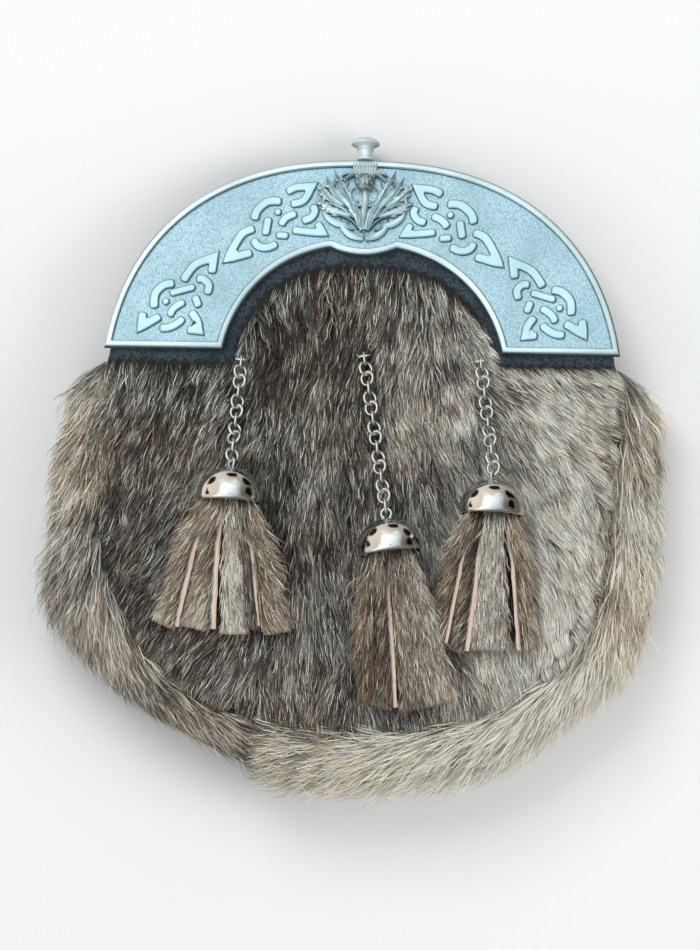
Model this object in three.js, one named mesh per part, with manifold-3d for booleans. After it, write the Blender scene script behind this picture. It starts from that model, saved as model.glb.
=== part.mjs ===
// A dress sporran lying on its back: a fur pouch under a cast silver arch (the cantle), with a thistle badge,
// a knob on top and three fur tassels that hang on chains.
// Millimetres. +X runs to the right of the front, +Y towards the knob and +Z out of the front. The origin is
// on the surface that the pouch lies on, under the middle of its outline.
import * as THREE from "three";
import { mergeVertices } from "three/addons/utils/BufferGeometryUtils.js";
import Module from "manifold-3d";

const wasm = await Module();
wasm.setup();

// Thicknesses and clearances
const GAP = 0.3;
const LEATHER = 2;
const HIDE = 1.8;
const FLAT_PILE = 1.2; // hair pressed flat against the hide
const BACK_TOP_Y = 56; // upper edge of the back panel, below the mouth
const BURY = 0.3; // how far raised work is sunk into what carries it
const CUT_PAST = 1; // how far a cutting shape runs past what it cuts
const CUT_HEIGHT = 80; // height of a cutting shape that stands over the whole pouch
const WELD = 1e-4; // corners closer than this are one corner
const SLIVER = 0.06; // smallest step that is kept where joined shapes meet

// The cantle and the yoke lie in one tilted plane, highest along the cantle's foot.
const FOOT_Y = 37.5;
const FOOT_Z = 24;
const TILT = THREE.MathUtils.degToRad(13.7);

// Cantle, in its own plane: y is measured from the foot, z from the face of the yoke.
const OUTER_ARCH = { cy: -21, a: 84.2, b: 84.8, n: 2.38 };
const INNER_ARCH = { cy: -12.9, a: 46.1, b: 48.4, n: 2.2 };
const CUSP = { x: 10.7, sag: 2.5 };
const PLATE = 1.7;
const RIM = { width: 2.3, height: 1.2 };
const KNOT_HEIGHT = 0.9;
const GROUND = GAP + PLATE;
const KNOT_TOP = GROUND + KNOT_HEIGHT;
const RIM_TOP = GROUND + RIM.height;

// Straight steps that round outlines are drawn in
const STEPS = { outerArch: 28, innerArch: 10, yokeOuter: 20, yokeInner: 14, furArch: 14 };

// Raised bands of the two knots on the left half, about each knot's own middle. Each row is one band: its
// width and the points of its centre line. The right half mirrors them.
const KNOTS = [
  {
    middle: [-60.3, 16.2],
    bead: [-3.1, -0.8],
    bands: [
      {
        band: "upper leaf",
        width: 2.4,
        line: [[2.2, 5.8], [3.7, 8.6], [6.4, 11.8], [12.1, 14.3], [11.4, 8.6]],
      },
      { band: "right bend", width: 2.2, line: [[6.3, 6.9], [8.7, 6.8], [10.6, 4.8], [10.1, 1.5]] },
      { band: "upper crossing", width: 1.9, line: [[-2.1, 1.8], [6.4, 4.3]] },
      { band: "left bend", width: 2.4, line: [[-0.3, 5.4], [-4, 4.5], [-6.6, 1.5], [-6.9, -3.4]] },
      { band: "lower crossing", width: 2.1, line: [[-2, -6], [-0.5, -3.1], [3.1, -0.6]] },
      { band: "short crossing", width: 2.1, line: [[6, 1.5], [7.7, -2.8]] },
      { band: "left leaf", width: 2.4, line: [[-10.4, -4.3], [-10.9, -9.6], [-4.6, -5.6]] },
      { band: "lower bend", width: 2.2, line: [[-5.1, -9.8], [-1.8, -9.5], [1.2, -7.8], [2.8, -6]] },
      { band: "right leaf", width: 2.3, line: [[4.8, -3.7], [7.1, -7.1], [7.8, -10.4], [3.7, -10]] },
    ],
  },
  {
    middle: [-28.6, 42],
    bead: [0.7, 4],
    bands: [
      {
        band: "upper leaf",
        width: 2.2,
        line: [[3.2, 10.6], [6.3, 12.3], [11.6, 12.9], [8.9, 8], [4.6, 6.6]],
      },
      { band: "right bend", width: 2.2, line: [[11.7, 6.8], [12.6, 4.4], [11.2, 2.1], [8.3, 1.1]] },
      { band: "left bend", width: 2.4, line: [[2, 7.7], [-2.6, 7.4], [-6, 4.4], [-7, 0.9]] },
      { band: "upper crossing", width: 2.2, line: [[1.4, -0.6], [3.4, 2.1], [6.9, 3.8]] },
      { band: "lower crossing", width: 2.2, line: [[-2.3, 2.4], [-3.3, -4.1]] },
      { band: "right leaf", width: 2.1, line: [[5.2, -1.9], [10.6, -2.5], [15.5, -2.8], [13.2, 0.9]] },
      { band: "short crossing", width: 1.9, line: [[0, -3.7], [4.5, -4]] },
      { band: "lower bend", width: 2.2, line: [[-7.4, -5], [-5.4, -7.6], [-2.3, -8], [0.9, -6.5]] },
      {
        band: "left leaf",
        width: 2.4,
        line: [[-6.6, -1.5], [-10.6, -3.5], [-13.5, -8.3], [-15.2, -12.1], [-7.2, -9.7]],
      },
    ],
  },
];
const BEAD = { radius: 0.95, sides: 8 };

// Thistle badge, about its own middle in the cantle's plane. Each row is one ridged blade of the right half:
// its greatest width, its height and the points of its centre line. The left half mirrors them.
const BADGE_MIDDLE_Y = 53.1;
const BULB = { y: 2.95, rx: 3.1, ry: 2.9, rz: 2.1, sides: 8, rows: 5 };
const CROWN = { spikes: 5, width: 1.5, height: 1.5, foot: 0.6, tip: 0.95, footY: 4.6, bendY: 8.6, tipY: 9.6 };
const STEM = { width: 1.9, height: 1.6, line: [[0, 1], [0.4, -3], [-0.3, -8], [0, -16]] };
const BLADE_TAPER = { foot: 0.6, middle: 1, tip: 0.08, tipHeight: 0.4 }; // shares of the width and height
const BLADES = [
  {
    blade: "main leaf",
    width: 3,
    height: 2.2,
    line: [[0.6, -13], [2.6, -7.5], [6.5, -3], [10.5, 0.5], [12.3, 4.8]],
  },
  { blade: "upper lobe", width: 2.6, height: 2, line: [[4.2, -5.5], [6, -1.5], [7.6, 2], [9, 5.8]] },
  { blade: "outer lobe", width: 2.4, height: 1.8, line: [[6, -4.5], [10, -3], [13.2, -0.6], [14.4, 2.6]] },
  { blade: "low lobe", width: 2.4, height: 1.8, line: [[4.5, -8], [9, -7], [12.6, -5.2], [14.7, -2.6]] },
  { blade: "crescent", width: 2.2, height: 1.5, line: [[0.3, -16.4], [4.5, -15.2], [7.8, -12], [9.6, -8.6]] },
  { blade: "small blade", width: 1.8, height: 1.4, line: [[7.2, -11.4], [10.5, -9.4], [13.4, -6]] },
  { blade: "scroll", width: 1.6, height: 1.8, line: [[1.2, -5], [3.8, -3.4], [4.6, -0.4], [3.2, 1.6]] },
  { blade: "collar", width: 1.6, height: 2.4, line: [[1.5, 4.6], [4.4, 4.5], [6.6, 2.6]] },
];

// Knob on the crown of the cantle: radius at each height above its foot.
const FINIAL_PROFILE = [
  { radius: 2.6, height: 0 },
  { radius: 2.3, height: 0.8 },
  { radius: 2.2, height: 3.2 },
  { radius: 2.7, height: 3.6 },
  { radius: 2.1, height: 4.1 },
  { radius: 4.7, height: 5.3 },
  { radius: 4.4, height: 6 },
  { radius: 2.6, height: 7 },
];
const FINIAL_TOP = 7.4;
const FINIAL_SIDES = 12;

// Yoke: the leather that the cantle is fixed to, in the cantle's plane. It stays inside the cantle's edge and
// runs under the edge of the fur.
const YOKE = { edge: 1, sideEdge: 1.9, foot: -8.6, overlap: 10 };
const YOKE_CLEAR_Y = 15; // below this the gusset is sewn to the front panel, above it runs under the yoke

// Outline of the front panel in plan: a wide rounded pouch with an arch inside the cantle.
const SEAM = { topX: 81.5, topY: 33.5, maxX: 79.5, midY: -15, bottomY: -82, n: 2.3 };
const FUR_ARCH = { cy: 25, a: 40.8, b: 40.5, n: 2.6 };
const FUR_SET_BACK = 0.5; // the pile stays this far inside the hide's edge

// Outer face of the front hide: its height along the edge, the rise in the middle and the half width over
// which it falls away.
const FRONT_SECTIONS = [
  { y: 70, edge: 18.3, crown: 0, half: 30 },
  { y: 52, edge: 22.7, crown: 1.5, half: 34 },
  { y: 38, edge: 26.1, crown: 3, half: 42 },
  { y: 27, edge: 28.8, crown: 3.5, half: 80 },
  { y: 10, edge: 31.5, crown: 5, half: 81 },
  { y: -15, edge: 33, crown: 5.2, half: 80 },
  { y: -45, edge: 33.3, crown: 4.8, half: 78 },
  { y: -66, edge: 32.8, crown: 3.5, half: 70 },
  { y: -84, edge: 32, crown: 0.6, half: 40 },
];
const FRONT_HALF = 84;
const FRONT_COLUMNS = 10;
const FUR_ROW_PITCH = 13;

// Gusset wall: how far it bulges out of the seam, by its share of the height from the back to the front.
const GUSSET_SECTION = [
  { out: 0, share: 1 },
  { out: 4.5, share: 1.03 },
  { out: 9, share: 0.83 },
  { out: 11, share: 0.5 },
  { out: 9, share: 0.2 },
  { out: 6, share: 0 },
];
const GUSSET_TOP_Y = 62; // it runs on behind the cantle
const GUSSET_INSET = 4.2; // how far it stays inside the cantle's edge there
const GUSSET_BULGE = { startY: 39.5, fullY: 8 };
const GUSSET_STEPS = { behind: 3, side: 4, round: 7 };
const GUSSET_FUR_TOP_Y = 31;
const GUSSET_FUR_FOOT = 0.4;
const GUSSET_FUR_ROWS = [0.35, 1, 2, 3, 4, 4.7]; // places along the rows of the section

// Locks of the pile: how far their tips stand off the hide and how far they lean along the run of the hair.
// The hair of the front turns outwards by 45 degrees at the distance fanOut from the middle. The gusset's
// locks grow towards the bottom and fall off towards the edges of the band.
const FRONT_LOCK = { lift: 4.6, lean: 7, fanOut: 90 };
const GUSSET_LOCK = { lift: 9, lean: 8, lowerLift: 4.5, growFromY: -40, growToY: -80, edgeDrop: 5 };
const PARTING_X = -20; // the hair of both sides of the gusset runs down and meets here

// Chains of oval links, each with the wire staple that holds it and the tassel on its end: the chain leans by
// one angle from straight down, and the tassel swings by another.
const LINK = { length: 5.3, width: 4.4, wire: 0.94, sides: 10, wireSides: 5 };
const LINK_FUSE = 0.04; // how far neighbouring links run into each other
const ROLL_STEP = THREE.MathUtils.degToRad(120);
const CHAIN_REST = 2.5; // middle of a lying chain above the pile
const CHAIN_RISE = { from: 0.45, to: 0.97 }; // shares of its length over which it rises to the cap's eye
const CHAIN_TRACE = 0.05; // step in which the length of a chain is measured
const HANGINGS = [
  { side: "left", x: -38.6, y: 34.4, lean: -4, swing: -2.5, links: 11, strips: 40.8, fan: 19 },
  { side: "middle", x: 0.6, y: 36.2, lean: 9, swing: 7.3, links: 16, strips: 48, fan: 14.8 },
  { side: "right", x: 38, y: 35.2, lean: 7.2, swing: -2, links: 12, strips: 42.5, fan: 13 },
];
const STAPLE = { wire: 0.9, width: 4.2, height: 2, corner: 0.8, sides: 5, steps: 8 };
const PRESSED = { above: 18, chain: 16, beforeEye: 2, cap: 20, beyondFan: 11 }; // reach of the flattened pile

// Bell cap of a tassel, along its own axis from the wire of its eye, nose down on the pile.
const CAP = { radius: 10, wall: 0.9, apex: 2.9, dome: 9.5, lip: 2, lipRadius: 10.2, sides: 12 };
const CAP_EDGE = { height: 0.4, chamfer: 0.3 };
const CAP_ARC = { outer: [0, 0.25, 0.5, 0.75, 1], inner: [0, 0.35, 0.7, 1] }; // shares of a quarter turn
const CAP_BED = [0.3, 0.6, 1, 1.3]; // shares of its length under which the pile carries it
const CAP_EYE = { radius: 1.6, wire: 0.9 };
const CAP_PITCH = THREE.MathUtils.degToRad(8);
const HEAD = { radius: 7.3, from: 8.6, to: 14, sides: 10 };

// Strips of a tassel: height above the pile and share of the fan's spread at each distance from the eye. The
// last distance is the length of the strips themselves.
const STRIP = { thick: 2.2, mouthWidth: 2.3, slit: 0.4 };
const STRIP_LAYERS = [
  { layer: "front", count: 5, mouthHalf: 5.4, spread: 1, heights: [12.6, 13.4, 9.4, 5.8] },
  { layer: "back", count: 3, mouthHalf: 3, spread: 0.72, heights: [6.4, 5.2, 3.8, 2.8] },
];
const STRIP_STATIONS = [
  { along: 10.5, open: 0 },
  { along: 15.5, open: 0.06 },
  { along: 30, open: 0.55 },
];

// Plain leather loops behind the yoke, for the belt.
const STRAP_LOOP = { x: 45, width: 12, fromY: 60, toY: 86, leather: 2 };

const metalSilver = new THREE.MeshStandardMaterial({ color: 0xb9d4de, roughness: 0.42, metalness: 0.9 });
const metalChrome = new THREE.MeshStandardMaterial({ color: 0xd8dadb, roughness: 0.12, metalness: 1 });
const blackLeather = new THREE.MeshStandardMaterial({ color: 0x24272e, roughness: 0.6, metalness: 0 });
const hideLeather = new THREE.MeshStandardMaterial({ color: 0x5a4a3c, roughness: 0.8, metalness: 0 });
const greyFur = new THREE.MeshStandardMaterial({ color: 0x77746d, roughness: 0.95, metalness: 0 });
const paleFur = new THREE.MeshStandardMaterial({ color: 0x9f9888, roughness: 0.95, metalness: 0 });
const tasselFur = new THREE.MeshStandardMaterial({ color: 0x8f8676, roughness: 0.95, metalness: 0 });

const linkHalfLength = LINK.length / 2 - LINK.wire / 2;
const linkInnerReach = (linkHalfLength - LINK.wire / 2) * Math.cos(Math.PI / LINK.sides);
const linkPitch = 2 * linkInnerReach + LINK_FUSE;

// A closed shell as a solid, turned so that its faces point out.
function toSolid(geometry) {
  const bare = geometry.clone();
  bare.deleteAttribute("normal");
  bare.deleteAttribute("uv");
  const merged = mergeVertices(bare, WELD);
  const corners = merged.attributes.position.array;
  const faces = Uint32Array.from(merged.index.array);
  let volume = 0;
  const [a, b, c] = [new THREE.Vector3(), new THREE.Vector3(), new THREE.Vector3()];
  for (let i = 0; i < faces.length; i += 3) {
    a.fromArray(corners, faces[i] * 3);
    b.fromArray(corners, faces[i + 1] * 3);
    c.fromArray(corners, faces[i + 2] * 3);
    volume += a.dot(b.cross(c));
  }
  if (volume < 0) {
    faces.reverse();
  }
  const shell = new wasm.Mesh({ numProp: 3, vertProperties: Float32Array.from(corners), triVerts: faces });
  return new wasm.Manifold(shell);
}

function toGeometry(solid) {
  const shell = solid.getMesh();
  const geometry = new THREE.BufferGeometry();
  geometry.setAttribute("position", new THREE.BufferAttribute(shell.vertProperties, 3));
  geometry.setIndex(new THREE.BufferAttribute(shell.triVerts, 1));
  geometry.computeVertexNormals();
  return geometry;
}

function join(geometries) {
  return geometries.map(toSolid).reduce((whole, solid) => whole.add(solid)).simplify(SLIVER);
}

function part(name, solid, material) {
  const mesh = new THREE.Mesh(toGeometry(solid), material);
  mesh.name = name;
  return mesh;
}

// A closed sheet between two grids of points with the same rows and columns.
function sheet(face, back) {
  const rows = face.length;
  const columns = face[0].length;
  const corners = [...face.flat(), ...back.flat()];
  const at = (layer, i, j) => layer * rows * columns + i * columns + j;
  const faces = [];
  const quad = (p, q, r, s) => faces.push(p, q, r, p, r, s);
  for (let i = 0; i + 1 < rows; i += 1) {
    for (let j = 0; j + 1 < columns; j += 1) {
      quad(at(0, i, j), at(0, i, j + 1), at(0, i + 1, j + 1), at(0, i + 1, j));
      quad(at(1, i, j), at(1, i + 1, j), at(1, i + 1, j + 1), at(1, i, j + 1));
    }
    quad(at(0, i, 0), at(0, i + 1, 0), at(1, i + 1, 0), at(1, i, 0));
    quad(at(0, i, columns - 1), at(1, i, columns - 1), at(1, i + 1, columns - 1), at(0, i + 1, columns - 1));
  }
  for (let j = 0; j + 1 < columns; j += 1) {
    quad(at(0, 0, j), at(1, 0, j), at(1, 0, j + 1), at(0, 0, j + 1));
    quad(at(0, rows - 1, j), at(0, rows - 1, j + 1), at(1, rows - 1, j + 1), at(1, rows - 1, j));
  }
  const geometry = new THREE.BufferGeometry().setFromPoints(corners);
  geometry.setIndex(faces);
  return geometry;
}

function prism(outline, from, to) {
  const options = { depth: to - from, bevelEnabled: false };
  return new THREE.ExtrudeGeometry(new THREE.Shape(outline), options).translate(0, 0, from);
}

// Points of a superellipse between two angles.
function superArc({ cy, a, b, n }, start, end, steps) {
  const bend = (value) => Math.sign(value) * Math.abs(value) ** (2 / n);
  return Array.from({ length: steps + 1 }, (_, i) => {
    const angle = start + ((end - start) * i) / steps;
    return new THREE.Vector2(a * bend(Math.cos(angle)), cy + b * bend(Math.sin(angle)));
  });
}

const angleAtHeight = ({ cy, b, n }, y) => Math.asin(((y - cy) / b) ** (n / 2));
const angleAtWidth = ({ a, n }, x) => Math.acos((x / a) ** (n / 2));
const halfWidthAt = ({ cy, a, b, n }, y) => a * (1 - ((y - cy) / b) ** n) ** (1 / n);

// A closed outline moved inwards, corner by corner.
function inset(outline, distance) {
  return outline.map((corner, i) => {
    const before = outline[(i + outline.length - 1) % outline.length];
    const after = outline[(i + 1) % outline.length];
    const first = corner.clone().sub(before).normalize();
    const second = after.clone().sub(corner).normalize();
    const normal = new THREE.Vector2(-first.y - second.y, first.x + second.x);
    const reach = distance / (1 + first.dot(second));
    return corner.clone().addScaledVector(normal, reach);
  });
}

// The outline of a band of even width along a line, with pointed corners.
function bandOutline(line, width) {
  const points = line.map(([x, y]) => new THREE.Vector2(x, y));
  const sides = [[], []];
  points.forEach((point, i) => {
    const first = point.clone().sub(points[Math.max(i - 1, 0)]);
    const second = points[Math.min(i + 1, points.length - 1)].clone().sub(point);
    first.copy(i === 0 ? second : first).normalize();
    second.copy(i === points.length - 1 ? first : second).normalize();
    const normal = new THREE.Vector2(-first.y - second.y, first.x + second.x);
    const reach = width / 2 / (1 + first.dot(second));
    sides[0].push(point.clone().addScaledVector(normal, reach));
    sides[1].unshift(point.clone().addScaledVector(normal, -reach));
  });
  return [...sides[0], ...sides[1]];
}

// A row of a table worked out between its rows, which go down in y.
function sectionAt(table, y) {
  const last = table.length - 2;
  const i = Math.min(Math.max(table.findIndex((row) => row.y < y) - 1, 0), last);
  const low = y < table[last].y ? last : i;
  const [upper, lower] = [table[low], table[low + 1]];
  const share = (upper.y - y) / (upper.y - lower.y);
  const mix = (column) => upper[column] + (lower[column] - upper[column]) * share;
  return { edge: mix("edge"), crown: mix("crown"), half: mix("half") };
}

function frontHeight(x, y) {
  const { edge, crown, half } = sectionAt(FRONT_SECTIONS, y);
  return edge + crown * Math.max(0, 1 - (x / half) ** 2);
}

const pileHeight = (x, y) => frontHeight(x, y) + GAP + FLAT_PILE;
const yokeFace = (y) => FOOT_Z - (y - FOOT_Y) * Math.tan(TILT);
const yokeBack = (y) => yokeFace(y) - LEATHER / Math.cos(TILT);

// Cantle: a plate sunk inside its rim, with the knots raised on the sunk ground
function cantleOutline() {
  const outerFoot = angleAtHeight(OUTER_ARCH, 0);
  const innerFoot = angleAtHeight(INNER_ARCH, 0);
  const innerCusp = angleAtWidth(INNER_ARCH, CUSP.x);
  const outer = superArc(OUTER_ARCH, outerFoot, Math.PI - outerFoot, STEPS.outerArch);
  const left = superArc(INNER_ARCH, Math.PI - innerFoot, Math.PI - innerCusp, STEPS.innerArch);
  const right = superArc(INNER_ARCH, innerCusp, innerFoot, STEPS.innerArch);
  const cuspY = right[0].y;
  const sag = [-0.5, 0, 0.5].map((share) => {
    return new THREE.Vector2(share * 2 * CUSP.x, cuspY - CUSP.sag * (1 - share * share));
  });
  return [...outer, ...left, ...sag, ...right];
}

function cantleSolid() {
  const outline = cantleOutline();
  const plate = toSolid(prism(outline, GAP, RIM_TOP));
  const sunk = toSolid(prism(inset(outline, RIM.width), GROUND, RIM_TOP + CUT_PAST));
  let cantle = plate.subtract(sunk);
  for (const mirror of [1, -1]) {
    for (const { middle, bead, bands } of KNOTS) {
      const place = (geometry) => {
        geometry.translate(middle[0], middle[1], 0);
        return toSolid(geometry.scale(mirror, 1, 1));
      };
      for (const { line, width } of bands) {
        cantle = cantle.add(place(prism(bandOutline(line, width), GROUND - BURY, KNOT_TOP)));
      }
      const round = new THREE.CylinderGeometry(BEAD.radius, BEAD.radius, KNOT_HEIGHT + BURY, BEAD.sides);
      round.rotateX(Math.PI / 2);
      round.translate(bead[0], bead[1], (GROUND - BURY + KNOT_TOP) / 2);
      cantle = cantle.add(place(round));
    }
  }
  return cantle;
}

// Thistle badge: ridged blades round a bulb under a crown of spikes
function bladeGeometry(line, width, height, foot) {
  const points = line.map(([x, y]) => new THREE.Vector3(x, y, foot));
  const rings = points.map((point, i) => {
    const share = i / (points.length - 1);
    const ahead = points[Math.min(i + 1, points.length - 1)];
    const behind = points[Math.max(i - 1, 0)];
    const along = ahead.clone().sub(behind).normalize();
    const across = new THREE.Vector3(-along.y, along.x, 0);
    const swell = THREE.MathUtils.lerp(BLADE_TAPER.foot, BLADE_TAPER.middle, Math.sin(Math.PI * share));
    const half = (width / 2) * (share === 1 ? BLADE_TAPER.tip : swell);
    const ridge = point.clone().setZ(foot + height * (share === 1 ? BLADE_TAPER.tipHeight : 1));
    return [point.clone().addScaledVector(across, half), ridge, point.clone().addScaledVector(across, -half)];
  });
  const corners = rings.flat();
  const faces = [0, 2, 1];
  for (let i = 0; i + 1 < rings.length; i += 1) {
    for (let j = 0; j < 3; j += 1) {
      const [p, q] = [i * 3 + j, i * 3 + ((j + 1) % 3)];
      faces.push(p, q, q + 3, p, q + 3, p + 3);
    }
  }
  const end = corners.length - 3;
  faces.push(end, end + 1, end + 2);
  const geometry = new THREE.BufferGeometry().setFromPoints(corners);
  geometry.setIndex(faces);
  return geometry;
}

function badgeSolid() {
  const foot = GROUND + GAP;
  const blades = [bladeGeometry(STEM.line, STEM.width, STEM.height, foot)];
  for (const { line, width, height } of BLADES) {
    blades.push(bladeGeometry(line, width, height, foot));
    blades.push(bladeGeometry(line.map(([x, y]) => [-x, y]), width, height, foot));
  }
  for (let i = 0; i < CROWN.spikes; i += 1) {
    const place = i * 2 - (CROWN.spikes - 1);
    const line = [
      [place * CROWN.foot, CROWN.footY],
      [place * CROWN.tip, CROWN.bendY],
      [place * CROWN.tip, CROWN.tipY],
    ];
    blades.push(bladeGeometry(line, CROWN.width, CROWN.height, RIM_TOP + GAP));
  }
  const bulb = new THREE.SphereGeometry(1, BULB.sides, BULB.rows).rotateX(Math.PI / 2);
  blades.push(bulb.scale(BULB.rx, BULB.ry, BULB.rz).translate(0, BULB.y, foot + BULB.rz));
  return join(blades).translate([0, BADGE_MIDDLE_Y, 0]);
}

function finialSolid() {
  const rings = FINIAL_PROFILE.map(({ radius, height }) => new THREE.Vector2(radius, height));
  const profile = [new THREE.Vector2(0, 0), ...rings, new THREE.Vector2(0, FINIAL_TOP)];
  const crownY = OUTER_ARCH.cy + OUTER_ARCH.b;
  return toSolid(new THREE.LatheGeometry(profile, FINIAL_SIDES)).translate([0, crownY + GAP, GROUND]);
}

function yokeSolid() {
  const outerCurve = { ...OUTER_ARCH, a: OUTER_ARCH.a - YOKE.sideEdge, b: OUTER_ARCH.b - YOKE.edge };
  const innerCurve = { ...INNER_ARCH, a: INNER_ARCH.a - YOKE.overlap, b: INNER_ARCH.b - YOKE.overlap };
  const outerFoot = angleAtHeight(outerCurve, YOKE.foot);
  const innerFoot = angleAtHeight(innerCurve, YOKE.foot);
  const outer = superArc(outerCurve, outerFoot, Math.PI - outerFoot, STEPS.yokeOuter);
  const inner = superArc(innerCurve, Math.PI - innerFoot, innerFoot, STEPS.yokeInner);
  return toSolid(prism([...outer, ...inner], -LEATHER, 0));
}

// Seam round the pouch, from the foot of the cantle on one side to the other
function seamSide(steps) {
  const { topX, topY, maxX, midY } = SEAM;
  return Array.from({ length: steps }, (_, i) => {
    const share = i / steps;
    return new THREE.Vector2(maxX + (topX - maxX) * (1 - share) ** 2, topY + (midY - topY) * share);
  });
}

function seamRound(steps) {
  const { maxX, midY, bottomY, n } = SEAM;
  return superArc({ cy: midY, a: maxX, b: midY - bottomY, n }, 0, -Math.PI, steps * 2);
}

const mirrored = (points) => points.map(({ x, y }) => new THREE.Vector2(-x, y)).reverse();

function seamPath({ side, round }) {
  const right = seamSide(side);
  return [...right, ...seamRound(round), ...mirrored(right)];
}

function panelOutline(shrink) {
  const foot = angleAtHeight(FUR_ARCH, SEAM.topY);
  const arch = superArc(FUR_ARCH, Math.PI - foot, foot, STEPS.furArch);
  const outline = [...seamPath(GUSSET_STEPS), ...arch].reverse();
  return shrink ? inset(outline, shrink) : outline;
}

// A grid of points over the front, on rows of the table of sections, each lifted off the hide by a function
function frontGrid(ys, columns, liftAt) {
  return ys.map((y, i) => Array.from({ length: columns + 1 }, (_, j) => {
    const x = FRONT_HALF * ((2 * j) / columns - 1);
    const { lift, shift } = liftAt(x, y, i, j);
    const spot = shift ? new THREE.Vector2(x, y).add(shift) : new THREE.Vector2(x, y);
    return new THREE.Vector3(spot.x, spot.y, frontHeight(spot.x, spot.y) + lift);
  }));
}

const tall = (outline) => toSolid(prism(outline, 0, CUT_HEIGHT));

function frontPanelSolid() {
  const ys = FRONT_SECTIONS.map((row) => row.y);
  const level = (lift) => frontGrid(ys, FRONT_COLUMNS, () => ({ lift }));
  return toSolid(sheet(level(0), level(-HIDE))).intersect(tall(panelOutline(0)));
}

// Gusset stations: a point of the seam, the outward direction there and the height of the wall's upper edge
function gussetStations() {
  const behind = Array.from({ length: GUSSET_STEPS.behind }, (_, i) => {
    const y = GUSSET_TOP_Y + ((FOOT_Y - GUSSET_TOP_Y) * i) / (GUSSET_STEPS.behind - 1);
    const local = (y - FOOT_Y) / Math.cos(TILT);
    return new THREE.Vector2(halfWidthAt(OUTER_ARCH, local) - GUSSET_INSET, y);
  });
  const path = [...behind, ...seamPath(GUSSET_STEPS), ...mirrored(behind)];
  return path.map((point, i) => {
    const ahead = path[Math.min(i + 1, path.length - 1)];
    const behindIt = path[Math.max(i - 1, 0)];
    const along = ahead.clone().sub(behindIt).normalize();
    const under = point.y > YOKE_CLEAR_Y ? yokeBack(point.y) : frontHeight(point.x, point.y) - HIDE;
    return {
      point,
      along,
      outward: new THREE.Vector2(-along.y, along.x),
      top: under - GAP,
      bulge: THREE.MathUtils.smoothstep(-point.y, -GUSSET_BULGE.startY, -GUSSET_BULGE.fullY),
    };
  });
}

// A point of the gusset at a station: a row of its section, moved off the wall by lift.
function gussetPoint({ point, outward, top, bulge }, sectionPlace, lift) {
  const low = LEATHER + GAP;
  const plan = ({ out, share: part }) => {
    const height = part > 1 ? 1 + (part - 1) * bulge : part;
    return new THREE.Vector2(out * bulge, low + (top - low) * height);
  };
  const index = Math.min(Math.floor(sectionPlace), GUSSET_SECTION.length - 2);
  const share = sectionPlace - index;
  const spot = plan(GUSSET_SECTION[index]).lerp(plan(GUSSET_SECTION[index + 1]), share);
  const before = plan(GUSSET_SECTION[Math.max(index - (share > 0 ? 0 : 1), 0)]);
  const after = plan(GUSSET_SECTION[index + 1]);
  const along = after.sub(before).normalize();
  spot.addScaledVector(new THREE.Vector2(-along.y, along.x), lift);
  return new THREE.Vector3(point.x + outward.x * spot.x, point.y + outward.y * spot.x, spot.y);
}

const stations = gussetStations();
const furredStations = stations.filter(({ point }) => point.y < GUSSET_FUR_TOP_Y);
const sectionRows = GUSSET_SECTION.map((_, i) => i);

function gussetSheet(list, rows, from, to) {
  const layer = (lift) => list.map((station) => rows.map((row) => gussetPoint(station, row, lift)));
  return toSolid(sheet(layer(to), layer(from)));
}

// Pile of the gusset: a sheet over the wall whose outer face is drawn out into pointed locks
function gussetFurSolid() {
  const foot = GUSSET_FUR_FOOT;
  const inner = furredStations.map((station) => {
    return GUSSET_FUR_ROWS.map((row) => gussetPoint(station, row, foot));
  });
  const lastRow = GUSSET_FUR_ROWS.length - 1;
  const outer = furredStations.map((station, i) => GUSSET_FUR_ROWS.map((row, j) => {
    const atEdge = j === 0 || j === lastRow || i === 0 || i === furredStations.length - 1;
    if (atEdge || (i + j) % 2 === 1) {
      return gussetPoint(station, row, foot + FLAT_PILE);
    }
    const { point, along } = station;
    const down = point.x > PARTING_X ? 1 : -1;
    const { lift, lean, lowerLift, growFromY, growToY, edgeDrop } = GUSSET_LOCK;
    const grown = lift + lowerLift * THREE.MathUtils.smoothstep(-point.y, -growFromY, -growToY);
    const tip = gussetPoint(station, row, foot + grown - edgeDrop * Math.abs(j / lastRow - 0.5));
    return tip.add(new THREE.Vector3(along.x, along.y, 0).multiplyScalar(down * lean));
  }));
  return toSolid(sheet(outer, inner));
}

// Each hanging: where its chain runs, from the staple's wire through the middle of each link to the cap's eye
const HOLD = linkInnerReach - STAPLE.wire / 2 - GAP; // middle of an end link to the wire that holds it
const CAP_LENGTH = CAP.apex + CAP.dome + CAP.lip;

function heading(degrees) {
  const angle = THREE.MathUtils.degToRad(degrees);
  return new THREE.Vector2(Math.sin(angle), -Math.cos(angle));
}

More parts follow.
